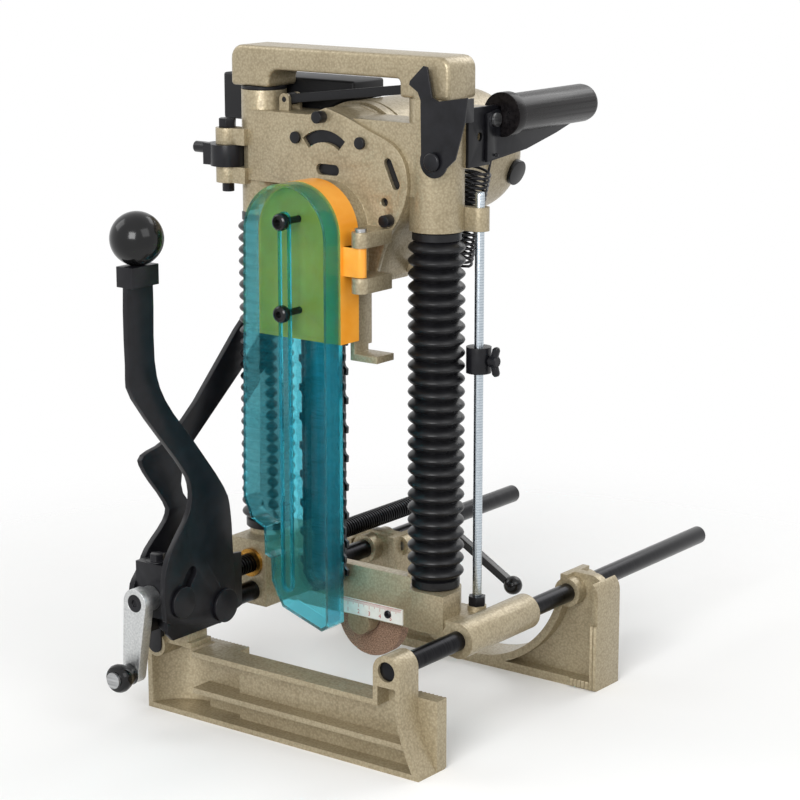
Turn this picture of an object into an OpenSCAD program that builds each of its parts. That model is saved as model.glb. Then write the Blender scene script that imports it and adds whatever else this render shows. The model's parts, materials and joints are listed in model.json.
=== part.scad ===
// Chain mortiser: a clamp with two jaws, a cross feed carriage on two rods, and a spring held head
// that drives a saw chain down behind a sliding guard. Millimetres, +Z up, front towards -Y.
// The origin is the centre of the front jaw's foot.

/* [Clamp] */
// Width of the front jaw
jaw_w = 252; // [240:1:270]
// Depth of each jaw
jaw_d = 34; // [32:1:36]
// Height of the front jaw's beam
jaw_h = 52; // [50:0.5:53]
// Wall of the jaw castings
jaw_wall = 7; // [5:0.5:8]
// Thickness of the front jaw's flanges and ribs
jaw_rib_t = 4; // [3:0.5:5]
// Height of the two guide rods' axes
rod_z = 74; // [73:0.5:75]
// Place of the right guide rod across the clamp
right_rod_x = 98; // [96:0.5:99]
// Diameter of the right guide rod
right_rod_d = 14.4; // [13:0.1:14.8]
// Length of the right guide rod
right_rod_len = 424; // [420:1:440]
// Diameter of the clamp rod
clamp_rod_d = 15; // [14:0.1:15.4]
// Length of the clamp rod
clamp_rod_len = 452; // [448:1:465]
// Distance from the front jaw's centre to the rear jaw's face
rear_jaw_y = 208; // [207:1:215]
// Radius of the rear jaw's arch
arch_r = 80; // [74:1:82]

/* [Levers] */
// Inner width of the lever bracket
bracket_in_w = 24; // [23:0.5:25]
// Thickness of the bracket's plates
bracket_t = 3; // [2.5:0.1:3.4]
// Thickness of the two hand levers
lever_t = 4.5; // [4:0.1:4.6]
// Length of the clamp lever from its pin to the ball's centre
clamp_lever_len = 297; // [285:1:302]
// Diameter of the clamp lever's ball
lever_ball_d = 38; // [32:1:40]
// Diameter of the levers' pins
pin_d = 10; // [8:0.5:11]
// Length of the release lever from its pin to the upper end
release_len = 241; // [230:1:245]

/* [Cross feed] */
// Place of the lead screw and the clamp rod across the clamp
screw_x = -98; // [-98.5:0.5:-97.5]
// Height of the lead screw's axis
screw_z = 96.5; // [96.5:0.5:97.5]
// Diameter of the lead screw
screw_d = 15; // [13:0.1:15]
// Length of the lead screw's thread
screw_len = 320; // [300:1:330]
// Distance between the crank's axis and the knob's axis
crank_r = 55; // [45:1:58]
// Diameter of the crank's knob
knob_d = 21; // [16:0.5:22]
// Diameter of the crank's hub
crank_hub_d = 21.4; // [18:0.2:22]

/* [Carriage] */
// Place of the beam's front face behind the front jaw's centre
beam_y = 82; // [81:0.5:83]
// Height of the beam
beam_h = 39; // [37:0.5:40]
// Thickness of the beam
beam_t = 10; // [8:0.5:11]
// Place of the columns behind the front jaw's centre
column_y = 101; // [100.5:0.5:101.5]
// Place of the right column across the clamp
right_column_x = 54; // [53.5:0.5:54.5]
// Place of the left column across the clamp
left_column_x = -105; // [-106:0.5:-104.5]
// Diameter of the columns
column_d = 21; // [19:0.5:22]
// Height of the columns' top ends
column_top = 395; // [385:1:396]
// Outer diameter of the bellows
bellows_d = 41.6; // [40:0.2:42]
// Ribs on each bellows
rib_count = 26; // [20:1:30]
// Length of the ruler
ruler_l = 61; // [50:1:64]
// Diameter of the depth rod
depth_rod_d = 6.8; // [6:0.1:7]
// Diameter of the grindstone
stone_d = 60; // [50:1:62]

/* [Head] */
// Height of the sleeves' lower ends
sleeve_z = 363; // [362:0.5:365]
// Diameter of the right sleeve
right_sleeve_d = 39.4; // [38:0.2:40]
// Diameter of the left sleeve
left_sleeve_d = 34; // [32:0.5:36]
// Height of the sprocket's axis
sprocket_z = 360; // [358:1:361]
// Place of the sprocket's axis across the clamp
sprocket_x = -25; // [-26:0.5:-24]
// Height of the motor's axis
motor_z = 400; // [400:0.5:402]
// Place of the motor's axis across the clamp
motor_x = -30; // [-31:0.5:-29]
// Diameter of the motor housing
motor_d = 96; // [90:1:98]
// Length of the motor housing
motor_len = 152; // [148:1:160]
// Height of the top handle's grip over the right sleeve
handle_rise = 13; // [12:0.5:17]
// Thickness of the top handle's grip
handle_t = 17; // [15:0.5:20]
// Diameter of the side grip
grip_d = 28; // [26:0.5:29]
// Length of the side grip
grip_l = 111; // [105:1:118]
// Diameter of the grip spring's coil
spring_d = 24; // [18:0.5:25]

/* [Chain and guard] */
// Width of the chain loop over its teeth
chain_w = 36; // [34:0.5:38]
// Thickness of the chain
chain_t = 14; // [12:0.5:14]
// Height of the chain's lower end
chain_z = 88; // [86:1:92]
// Radius of the chain cover's round top
cover_r = 35.5; // [34:0.5:36]
// Depth of the chain cover
cover_d = 18.7; // [17:0.5:18.7]
// Wall of the chain cover
cover_wall = 2.5; // [2:0.1:3]
// Depth of the chain guard
guard_d = 16.7; // [14:0.5:18]
// Wall of the chain guard
guard_wall = 2.5; // [2:0.1:3]
// Height of the chain guard's lowest edge
guard_z = 76; // [76:0.5:80]

/* [Hidden] */

$fn = 48;

// Colours
casting_c = "#b3a88e";
steel_c = "#b9babb";
black_c = "#1c1d1f";
zinc_c = "#b4bcc4";
oxide_c = "#3b3b3d";
orange_c = "#e8901f";
teal_c = "#2f7f95";
alu_c = "#c3c4c2";
stone_c = "#6b4a33";
white_c = "#e8e6df";
bronze_c = "#a8823c";

// Clearances and overruns
fit = 0.05;
gap = 0.3;
cut = 1;
weld = 0.5;

// Rods and screw
right_rod_r = right_rod_d / 2;
clamp_rod_r = clamp_rod_d / 2;
screw_r = screw_d / 2;
rod_front_y = -28;
right_rod_inset = 2;

// Front jaw
jaw_front = -jaw_d / 2;
pad_t = 2.5;
pad_w = 24;
pad_teeth = 7;
pad_low = 1;
jaw_rear = jaw_d / 2 - pad_t;
jaw_half = jaw_w / 2;
jaw_beam_d = 22;
jaw_beam_rear = jaw_front + jaw_beam_d;
jaw_web_t = 9;
jaw_left_h = 58;
jaw_left_x1 = -82;
jaw_left_pad_w = 72;
jaw_pocket_x1 = -47;
jaw_pocket_r = 36;
jaw_pocket_x = jaw_left_x1 - 5 / 7 * jaw_wall;
jaw_pocket_y = jaw_front - jaw_pocket_r / 4;
rib_z = 20;
boss_wall = 4.4;
flare_x = right_rod_x + right_rod_r + boss_wall;
flare_w = jaw_half - flare_x;
flare_h = 47;
flare_steps = 6;
strap_in = 11;
strap_x = -jaw_half + strap_in;
strap_z = 52;
strap_r = 6.4;
strap_ring = 3;

// Lever bracket
bracket_x0 = screw_x - bracket_in_w / 2 - bracket_t;
bracket_x1 = screw_x + bracket_in_w / 2 + bracket_t;
bracket_in0 = bracket_x0 + bracket_t;
bracket_in1 = bracket_x1 - bracket_t;
bracket_y0 = -41;
bracket_y1 = 42;
bracket_top = 122;
bracket_rear_top = 114;
bracket_low = 65;
bracket_rear_low = 73;
bracket_corner = 6;
bracket_slope_y = 14;
strap_t = 4;
tab_l = 18;
thrust_t = 8;
thrust_h = 32;
journal_r = 5;
bolt_r = 3;
bolt_head_r = 5.5;
bolt_head_t = 5;
washer_r = 8;
washer_t = 1.5;
bolt_l = 12;

// Lever pins
pin_r = pin_d / 2;
clamp_pin_y = 16;
clamp_pin_z = 80;
release_pin_y = -30;
release_pin_z = 94;
pin_head_t = 1.5;
pin_head_rim = 1.5;
pin_washer_t = 2.5;
clamp_washer_r = 12.6;
slot_washer_r = 11.6;
slot_pin_r = 3.5;

// Clamp lever: its body keeps its size, its bar ends below the ball
clamp_lever_x = bracket_x1 + gap;
lever_ball_r = lever_ball_d / 2;
lever_dir_shares = [-0.276, 0.961];
collar_w = 27;
collar_h = 14;
collar_t = 15;
collar_sink = 5;
lever_body = 100;
lever_bar_w = 26;
lever_bar_rise = 30.4;
lever_body_shares = [[-0.05, -0.13], [0.09, -0.1], [0.132, 0.02], [0.11, 0.4], [0.09, 0.7],
    [0.02, 0.905], [-0.3, 1.315], [-0.589, 1.67]];
lever_front_shares = [[-0.904, 1.73], [-0.469, 1.2], [-0.342, 1.0], [-0.357, 0.8],
    [-0.515, 0.6], [-0.604, 0.47], [-0.643, 0.28], [-0.632, 0.09], [-0.57, 0]];
lever_curve_steps = 3;
slot_r = 5;
slot_up_deg = 27;
slot_down_deg = 7;
slot_steps = 8;

// Release lever: a plate joggled outwards above the bracket
release_x0 = bracket_x0 - gap - lever_t;
release_out = 16;
joggle_low = 58;
joggle_run = 36;
release_body = 100;
release_curve_steps = 3;
release_body_shares = [[-0.14, -0.02], [-0.08, -0.14], [0.08, -0.14], [0.15, 0.02],
    [0.28, 0.23], [0.42, 0.38], [0.49, 0.56], [0.47, 0.72], [0.73, 0.99]];
release_end_shares = [[0.674, 0.722], [0.602, 0.8]];
release_front_shares = [[0.77, 1.28], [0.44, 1.05], [0.18, 0.98], [0.16, 0.86], [0.26, 0.63],
    [0.23, 0.5], [0.03, 0.33], [-0.05, 0.2], [-0.13, 0.1]];

// Rear jaw
rear_y1 = rear_jaw_y + jaw_d;
rear_x0 = -118;
rear_x1 = jaw_half;
rear_h = 88;
arch_x = 12;
arch_z = rear_h;
arch_rim = 6;
rear_web_t = 8;
rear_web_y = rear_jaw_y + (jaw_d - rear_web_t) / 2;
rear_end_t = 15;
rear_boss_wall = 4;
rear_left_top = 80;
lock_pin_x = -69;
lock_pin_z = 79;
lock_pin_r = 4;
lock_head_t = 3;
lock_hub_r = 8;
lock_hub_t = 8;
lock_shaft_r = 3;
lock_ball_r = 7.5;
lock_ball_x = 24;
lock_ball_z = 57;
lock_bend_x = -42;
lock_bend_z = 95;
lock_y = rear_y1 + gap;

// Crank
arm_t = 9;
hub_r = crank_hub_d / 2;
hub_neck = 9;
hub_back = bracket_y0 - gap;
arm_y0 = hub_back - arm_t - hub_neck;
arm_end_r = 7.4;
crank_deg = 6;
crank_screw_r = 4;
crank_head_r = 6.5;
crank_screw_t = 3;
knob_r = knob_d / 2;
knob_l = 16;
knob_pin_r = 4;
knob_head_t = 2;
knob_head_r = 6;
knob_x = screw_x - crank_r * sin(crank_deg);
knob_z = screw_z - crank_r * cos(crank_deg);
screw_y0 = bracket_y0 + bracket_t + thrust_t + gap;

// Carriage
beam_z = 69;
beam_x0 = -86;
beam_x1 = 48;
block_x1 = 76;
block_y0 = 80;
tube_r = 13.4;
tube_y0 = 67;
tube_y1 = 154;
socket_r = 19;
socket_top = 99;
column_r = column_d / 2;
right_column_z = 76;
left_column_z = 107;
left_block_x0 = -118.5;
left_block_x1 = -84;
left_block_y0 = 71;
left_block_y1 = 139;
left_block_z0 = 63;
left_block_z1 = 114;
left_neck_r = 15;
left_neck_h = 4;
web_t = 12;
web_y1 = 124;
nut_wall = 2.3;
nut_r = screw_r + nut_wall;
nut_l = 22;
nut_rim = 1;
nut_flange_r = nut_r + nut_rim;
nut_flange_t = 3;
ruler_x0 = -22.5;
ruler_z = 70;
ruler_h = 12;
ruler_t = 1;
ruler_screw_x = 25;
ruler_screw_r = 1.5;
ruler_screw_l = 6;
depth_y = 117;
depth_r = depth_rod_d / 2;
depth_boss_r = 7;
depth_boss_h = 4;
depth_boss_top = beam_z + web_t + depth_boss_h;
depth_foot_z = 73;
depth_top = 391;
depth_nut_h = 7;
depth_nut_r = 6.8;
collar_r = 9.2;
depth_gap = 0.529;
depth_x = right_column_x + sqrt(pow(bellows_d / 2 + collar_r + depth_gap, 2)
    - pow(depth_y - column_y, 2));
collar_z = 260;
collar_h2 = 19;
wing_r = 2.5;
wing_l = 14;
wing_out = 7;
wing_t = 3;
wing_h = 11;
wing_w = 9;
stone_x = -3.5;
stone_z = 64.7;
stone_t = 9;
spindle_r = 5;
spindle_nut_r = 9;
spindle_nut_t = 6;
spindle_flange_t = 2;
spindle_boss_r = 10;
spindle_boss_l = 2;
stone_y0 = beam_y + beam_t + spindle_boss_l + spindle_flange_t;

// Bellows and column springs
bellows_r = bellows_d / 2;
rib_depth = 4.8;
bellows_wall = 1.2;
bellows_top = sleeve_z - gap;
right_bellows_z = socket_top + gap;
left_bellows_z = left_block_z1 + left_neck_h + gap;
bellows_end = 7;
bellows_rim = 1.8;
spring_wire = 1.8;
spring_gap = 0.6;
spring_in_r = column_r + spring_gap;

// Head casting
case_y0 = 81.5;
case_y1 = 118;
head_top = 440;
head_low = 388;
right_sleeve_r = right_sleeve_d / 2;
left_sleeve_r = left_sleeve_d / 2;
right_sleeve_rise = 17;
left_sleeve_rise = 14;
right_sleeve_top = head_top + right_sleeve_rise;
left_sleeve_top = head_top + left_sleeve_rise;
handle_z = right_sleeve_top + handle_rise;
ring_t = 3;
case_left_shares = [[-0.45, 0.82], [-0.72, 0.66], [-0.86, 0.5], [-0.84, 0.39], [-0.53, 0.33],
    [-0.53, -0.4], [0.56, -0.4]];
case_right_shares = [[0.64, -0.2], [0.72, -0.04], [0.86, 0.12], [0.95, 0.28], [0.975, 0.42],
    [0.93, 0.57], [0.79, 0.7], [0.5, 0.79], [0.22, 0.88], [-0.04, 0.94]];
case_curve_steps = 3;
case_w = 72;
case_h = 92;
gear_t = 12;
gear_gap = 2;
gear_y0 = case_y0 + gear_gap;
case_wall_y = gear_y0 + gear_t + gear_gap;
pinion_r = 10;
gear_r = norm([motor_x - sprocket_x, motor_z - sprocket_z]) - pinion_r - gap;
shaft_r = 6;
arm_shaft_r = 4;
motor_r = motor_d / 2;
motor_lip = 2;
motor_flange_r = motor_r - motor_lip;
motor_flange_t = 6;
tab_r = 7;
tab_h = 17;
lock_x = 68;
lock_z = 415;
lock_boss_r = 6;
lock_t = 2;
lock_y0 = 77;
lock_screw_r = 3;
lock_screw_head_r = 6.6;
lock_screw_head_t = 3;
lock_screw_l = 10;
grip_x = 80;
grip_z = 443;
grip_bracket_t = 2.5;
grip_bracket_x = right_column_x + right_sleeve_r;
grip_lug_w = 14;
grip_lug_y0 = 108;
grip_lug_y1 = 134;
grip_lug_z0 = 408;
grip_lug_z1 = 450;
switch_pivot_x = -80;
switch_pivot_z = 448;
switch_lug_t = 3;
switch_w = 9;
switch_y = 97;
switch_pin_r = 2;

// Latch on the left sleeve
latch_x = -125;
latch_y = 82;
latch_r = 4.5;
latch_lug_r = 9;
latch_lug_h = 12;
latch_low_z = 385;
latch_hub_h = 16;
latch_hub_r = 13;
latch_arm_l = 12;
latch_rod_r = 4.2;
latch_rod_l = 31;
latch_head_h = 7;
latch_top_z = latch_low_z + latch_lug_h * 2 + latch_hub_h + gap * 2;

// Gear plate and chain box
plate_y0 = 77.5;
box_y0 = 61.3;
box_wall = 4;
box_low = 279;
foot_t = 5;
foot_w = 20;
foot_d = 20;
foot_z = 269;
hinge_x = 25;
hinge_y = 50;
hinge_r = 4.2;
hinge_pin_r = 2.2;
barrel_z0 = 333;
barrel_z1 = 354;
lug_r = 6.5;
lug_h = 11;
plate_screw_r = 2;
plate_screw_head_r = 4.4;
plate_screw_head_t = 2.5;
plate_screw_l = 9;
plate_screw_shares = [[-0.08, 0.87], [-0.42, 0.69], [0.4, 0.69], [0.76, 0.115]];
arch_slot_r = 30.5;
arch_slot_w = 9;
arch_slot_deg = 40;
arch_steps = 12;
low_slot_x = -33;
low_slot_z = 402;
low_slot_w = 13;
low_slot_h = 8;
side_slot_x0 = 28;
side_slot_z0 = 411;
side_slot_x1 = 35;
side_slot_z1 = 396;
side_slot_w = 7;
side_slot_deg = atan2(side_slot_z1 - side_slot_z0, side_slot_x1 - side_slot_x0);
side_hole_x = 25;
side_hole_z = 383;
side_hole_r = 3;
plate_screw_tall = 8;

// Chain, bar and sprocket
chain_gap = 0.7;
chain_y = plate_y0 - chain_t - chain_gap;
band_t = 7;
tooth_t = 2.6;
chain_pitch = 10.85;
bar_t = 4;
chain_in_r = chain_w / 2 - band_t;
bar_bolt_z = 325;
bar_top = 338;
bar_bolt_r = 4;
bar_bolt_head_r = 7;
bar_bolt_head_t = 3;
bar_y0 = chain_y + (chain_t - bar_t) / 2;
chain_low_z = chain_z + chain_w / 2;
chain_run = sprocket_z - chain_low_z;
straight_links = floor(chain_run / chain_pitch);
arc_links = 5;

// Motor
motor_y1 = case_y1 + motor_len;
motor_wall = 4.5;
dome_l = 22;
dome_steps = 6;
stator_in = 24;
stator_y0 = case_y1 + stator_in;
stator_l = 64;
stator_in_r = 27;
core_r = 25.5;
fan_r = 38;
fan_t = 9;
fan_gap = 5;
fan_y0 = case_y1 + fan_gap;
comm_r = 13;
comm_l = 16;
comm_y1 = motor_y1 - motor_wall - dome_l / 2 - gap;
cap_back = 15;
cap_y = motor_y1 - cap_back;
cap_deg = 18;
cap_r = 10;
cap_out = 3;
cap_in = 6;

// Top handle
handle_x0 = -123;
handle_x1 = 76;
handle_y0 = 84;
handle_y1 = 118;
handle_open_x0 = -87;
handle_open_x1 = 33;
handle_corner = 8;
handle_steps = 4;
handle_hole_r = 3;
handle_hole_drop = 6;
handle_hole_d = 6;
handle_sleeve_wall = 8;
column_rise = 84;

// Switch housing and lever
housing_x0 = -160;
housing_x1 = -34;
housing_y1 = 155;
housing_z0 = 427;
housing_h = 35;
switch_len = 112;
switch_tilt = 7;
switch_t = 6.5;
switch_hub_r = 4.5;

// Side grip, its bracket and the squeeze lever
grip_y0 = 143;
grip_slot_z = 449;
collar_l = 9;
grip_flare = 2;
grip_end_r = 8;
grip_end_steps = 4;
squeeze_x = grip_bracket_x + grip_bracket_t + gap;
squeeze_t = 2.4;
squeeze_y = 137;
squeeze_z = 440;
squeeze_pin_r = 3;
squeeze_head_r = 5;
squeeze_head_t = 2;
squeeze_shares = [[-0.08, 0.04], [-0.08, -0.25], [0.34, -0.21], [0.67, -0.14], [0.93, -0.07],
    [0.93, 0], [0.1, 0.02], [0.03, 0.06]];
squeeze_len = 118;
tongue_l = 60;
tongue_h = 10;
hook_share = 0.215;
hook_z = squeeze_z - hook_share * squeeze_len;

// Lock plate
lock_plate_h = 68;
lock_flange_d = 12;
lock_round_r = 11.5;
lock_plate_shares = [[-0.155, -0.02], [-0.165, 0.62], [-0.2, 0.7], [-0.31, 0.77], [-0.3, 0.81],
    [-0.13, 0.97], [-0.08, 0.96], [-0.02, 0.66], [0.06, 0.62], [0.12, 0.63], [0.42, 0.68],
    [0.385, 0.42], [0.27, 0.04], [0.155, -0.06]];
lock_flange_share = 0.385;
lock_flange_low_share = 0.42;
lock_flange_high_share = 0.66;

// Extension spring and the post that holds its lower hook
coil_wire_r = 1;
coil_r = spring_d / 2 - coil_wire_r;
coil_turns = 12;
coil_rings_per_turn = 10;
coil_sides = 6;
coil_y0 = 138;
post_x = 32;
post_y = 141;
post_z = 330;
post_foot_x = 8;
post_r = 3;

// Chain cover and guard
cover_y1 = box_y0 - gap;
cover_y0 = cover_y1 - cover_d;
cover_x1 = sprocket_x + cover_r;
cover_low = 286;
guard_y1 = cover_y0 - gap;
guard_y0 = guard_y1 - guard_d;
guard_r = cover_r;
slot_w = 6.6;
slot_low = 100;
slot_top = 376;
knob_high_z = 371;
knob_low_z = 305;
cover_knob_r = 6.3;
cover_knob_t = 6;
cover_stud_r = 2.6;
cover_nut_r = 5;
cover_nut_t = 2;
guard_shares = [[-1.1, 0.31], [-0.9, 0.26], [-0.56, 0.24], [-0.54, 0.17], [-0.38, 0.162],
    [-0.36, 0.1], [-0.1, 0.04], [0.88, 0], [1, 0.01]];
guard_steps = 9;

// Boxes and cylinders placed by their edges
module box(x0, x1, y0, y1, z0, z1) {
    translate([x0, y0, z0]) cube([x1 - x0, y1 - y0, z1 - z0]);
}

module x_cyl(y, z, x0, x1, r) {
    translate([x0, y, z]) rotate([0, 90, 0]) cylinder(h = x1 - x0, r = r);
}

module y_cyl(x, z, y0, y1, r) {
    translate([x, y0, z]) rotate([-90, 0, 0]) cylinder(h = y1 - y0, r = r);
}

module z_cyl(x, y, z0, z1, r) {
    translate([x, y, z0]) cylinder(h = z1 - z0, r = r);
}

// Plates from outlines drawn in the side, front and top views
module x_plate(x0, x1) {
    translate([x0, 0, 0]) rotate([90, 0, 90]) linear_extrude(x1 - x0) children();
}

module y_plate(y0, y1) {
    translate([0, y1, 0]) rotate([90, 0, 0]) linear_extrude(y1 - y0) children();
}

module z_plate(z0, z1) {
    translate([0, 0, z0]) linear_extrude(z1 - z0) children();
}

// A bar of even width with round ends between two points of a flat view
module strip(a, b, w) {
    d = b - a;
    l = norm(d);
    translate(a) circle(w / 2);
    translate(b) circle(w / 2);
    translate(a) rotate(atan2(d[1], d[0])) translate([0, -w / 2]) square([l, w]);
}

// Points of an arc round a centre
function arc(c, r, a0, a1, n) = [for (i = [0 : n]) c + r * [cos(a0 + (a1 - a0) * i / n),
    sin(a0 + (a1 - a0) * i / n)]];

// Points of a smooth curve through given points, n steps from each to the next
function flow(p, n) = let (last = len(p) - 1) concat([for (i = [0 : last - 1]) for (k = [0 : n - 1])
    let (a = p[max(i - 1, 0)], b = p[i], c = p[i + 1], d = p[min(i + 2, last)], t = k / n)
        b + (c - a) * t / 2 + (a * 2 - b * 5 + c * 4 - d) * t * t / 2
        + (b * 3 - a - c * 3 + d) * t * t * t / 2], [p[last]]);

// Clamping face with upright teeth, drawn from above
module serration(x0, w, y, depth, z0, z1) {
    count = round(w / pad_w * pad_teeth);
    pitch = w / count;
    tooth = [for (i = [0 : count - 1]) each [[x0 + i * pitch, y + depth / 2],
        [x0 + (i + 1 / 2) * pitch, y + depth]]];
    z_plate(z0, z1) polygon(concat([[x0 + w, y + depth / 2], [x0 + w, y - depth],
        [x0, y - depth]], tooth));
}

// Front view of the front jaw, its right end flared towards the foot
module jaw_outline() {
    flare = [for (i = [0 : flare_steps]) [flare_x + flare_w * pow(1 - i / flare_steps, 3 / 2),
        flare_h * i / flare_steps]];
    polygon(concat([[-jaw_half, 0]], flare, [[flare_x, jaw_h], [jaw_left_x1, jaw_h],
        [jaw_left_x1, jaw_left_h], [-jaw_half, jaw_left_h]]));
}

// Pockets of the beam seen from the front, above and below its rib
module jaw_pockets(x0, x1) {
    upper_z = rib_z + jaw_rib_t;
    intersection() {
        translate([-jaw_rib_t, 0]) jaw_outline();
        union() {
            translate([x0, jaw_rib_t]) square([x1 - x0, rib_z - jaw_rib_t]);
            translate([x0, upper_z]) square([x1 - x0, jaw_h - jaw_rib_t - upper_z]);
        }
    }
}

module front_jaw() {
    boss_r = right_rod_r + boss_wall;
    post_in = boss_r - jaw_rib_t;
    web_y = jaw_beam_rear - jaw_web_t;
    ring_r = strap_r + strap_ring;
    color(casting_c) difference() {
        union() {
            difference() {
                union() {
                    y_plate(jaw_front, jaw_beam_rear) jaw_outline();
                    box(-jaw_half, -jaw_half + jaw_left_pad_w, jaw_beam_rear - weld, jaw_rear,
                        0, jaw_h);
                    box(jaw_half - pad_w, jaw_half, jaw_beam_rear - weld, jaw_rear, 0, jaw_h);
                    box(right_rod_x - boss_r, right_rod_x + boss_r, jaw_front, jaw_beam_rear,
                        jaw_h - weld, rod_z);
                }
                y_plate(jaw_front - cut, web_y) jaw_pockets(jaw_pocket_x1, jaw_half);
                y_plate(jaw_front - cut, jaw_beam_rear - jaw_web_t / 3)
                    jaw_pockets(jaw_left_x1, jaw_pocket_x1);
                box(right_rod_x - post_in, right_rod_x + post_in, jaw_front - cut, web_y,
                    rib_z + jaw_rib_t, rod_z - boss_r);
                intersection() {
                    z_cyl(jaw_pocket_x, jaw_pocket_y, jaw_rib_t, jaw_left_h - jaw_rib_t,
                        jaw_pocket_r);
                    box(-jaw_half, jaw_left_x1 + weld, jaw_front - cut, jaw_rear, 0, jaw_left_h);
                }
            }
            y_cyl(right_rod_x, rod_z, jaw_front, jaw_beam_rear, boss_r);
            box(bracket_in0, bracket_in1, jaw_front, jaw_beam_rear, jaw_left_h - weld, rod_z);
            y_cyl(screw_x, rod_z, jaw_front, jaw_beam_rear, clamp_rod_r + boss_wall);
            y_cyl(strap_x, strap_z, jaw_front - strap_ring, jaw_beam_rear, ring_r);
            serration(jaw_half - pad_w, pad_w, jaw_rear, pad_t, pad_low, jaw_h);
            serration(-jaw_half, jaw_left_pad_w, jaw_rear, pad_t, pad_low, jaw_h);
        }
        y_plate(jaw_front - strap_ring - cut, jaw_front)
            strip([strap_x, strap_z], [strap_x, rod_z], (strap_r + fit) * 2);
        y_cyl(right_rod_x, rod_z, jaw_front - cut, jaw_rear + cut, right_rod_r + fit);
        y_cyl(screw_x, rod_z, jaw_front - cut, jaw_rear + cut, clamp_rod_r + fit);
    }
}

module right_guide_rod() {
    color(oxide_c) y_cyl(right_rod_x, rod_z, jaw_front + right_rod_inset,
        jaw_front + right_rod_inset + right_rod_len, right_rod_r);
}

// Side of the bracket
module bracket_side() {
    polygon([[bracket_y0, bracket_low + bracket_corner], [bracket_y0 + bracket_corner, bracket_low],
        [bracket_slope_y, bracket_low], [bracket_y1, bracket_rear_low],
        [bracket_y1, bracket_rear_top], [bracket_y0 + tab_l, bracket_top],
        [bracket_y0, bracket_top]]);
}

module lever_bracket() {
    color(black_c) difference() {
        union() {
            x_plate(bracket_x0, bracket_in0) bracket_side();
            x_plate(bracket_in1, bracket_x1) bracket_side();
            box(bracket_x0, bracket_x1, bracket_y0, bracket_y0 + bracket_t, rod_z + clamp_rod_r,
                bracket_top);
            box(bracket_x0, bracket_x1, bracket_y0, bracket_y0 + tab_l,
                bracket_top - bracket_t, bracket_top);
            y_plate(jaw_front - strap_t, jaw_front) {
                translate([strap_x, strap_z]) circle(strap_r);
                translate([strap_x - strap_r, strap_z])
                    square([strap_r + strap_r, rod_z - strap_z]);
            }
        }
        y_cyl(screw_x, screw_z, bracket_y0 - cut, bracket_y0 + bracket_t + cut,
            journal_r + fit);
        z_cyl(screw_x, bracket_y0 + bracket_t + thrust_t / 2, bracket_top - bracket_t - cut,
            bracket_top + cut, bolt_r + fit);
        x_cyl(clamp_pin_y, clamp_pin_z, bracket_in1 - cut, bracket_x1 + cut, pin_r + fit);
        x_cyl(release_pin_y, release_pin_z, bracket_in1 - cut, bracket_x1 + cut,
            slot_pin_r + fit);
        x_cyl(release_pin_y, release_pin_z, bracket_x0 - cut, bracket_in0 + cut,
            slot_pin_r + fit);
    }
}

// Bearing of the lead screw between the bracket's sides
module thrust_block() {
    z1 = bracket_top - bracket_t;
    color(steel_c) difference() {
        box(bracket_in0 + pin_head_t + gap, bracket_in1 - pin_head_t - gap,
            bracket_y0 + bracket_t, bracket_y0 + bracket_t + thrust_t, z1 - thrust_h, z1);
        y_cyl(screw_x, screw_z, bracket_y0, screw_y0 + cut, journal_r + fit);
        z_cyl(screw_x, bracket_y0 + bracket_t + thrust_t / 2, z1 - bolt_l, z1 + cut,
            bolt_r + fit);
    }
}

module bracket_bolt() {
    y = bracket_y0 + bracket_t + thrust_t / 2;
    color(steel_c) {
        z_cyl(screw_x, y, bracket_top - bolt_l, bracket_top + weld, bolt_r);
        z_cyl(screw_x, y, bracket_top, bracket_top + washer_t, washer_r);
        translate([screw_x, y, bracket_top + washer_t])
            cylinder(h = bolt_head_t, r = bolt_head_r, $fn = 6);
    }
}

// Stub pin from an inner head through a plate and a lever to an outer washer
module stub_pin(y, z, x_in, x_out, r, outer_r) {
    d = x_out > x_in ? 1 : -1;
    translate([x_in, y, z]) rotate([0, d * 90, 0]) {
        translate([0, 0, -pin_head_t]) cylinder(h = pin_head_t, r = r + pin_head_rim);
        cylinder(h = abs(x_out - x_in) + weld, r = r);
        translate([0, 0, abs(x_out - x_in)]) cylinder(h = pin_washer_t, r = outer_r);
    }
}

module clamp_pin() {
    color(steel_c) stub_pin(clamp_pin_y, clamp_pin_z, bracket_in1,
        clamp_lever_x + lever_t + gap, pin_r, clamp_washer_r);
}

// One pin guides the clamp lever's slot, its twin carries the release lever
module shoulder_pins() {
    color(steel_c) {
        stub_pin(release_pin_y, release_pin_z, bracket_in1, clamp_lever_x + lever_t + gap,
            slot_pin_r, slot_washer_r);
        stub_pin(release_pin_y, release_pin_z, bracket_in0, release_x0 - gap, slot_pin_r,
            slot_washer_r);
    }
}

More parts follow.
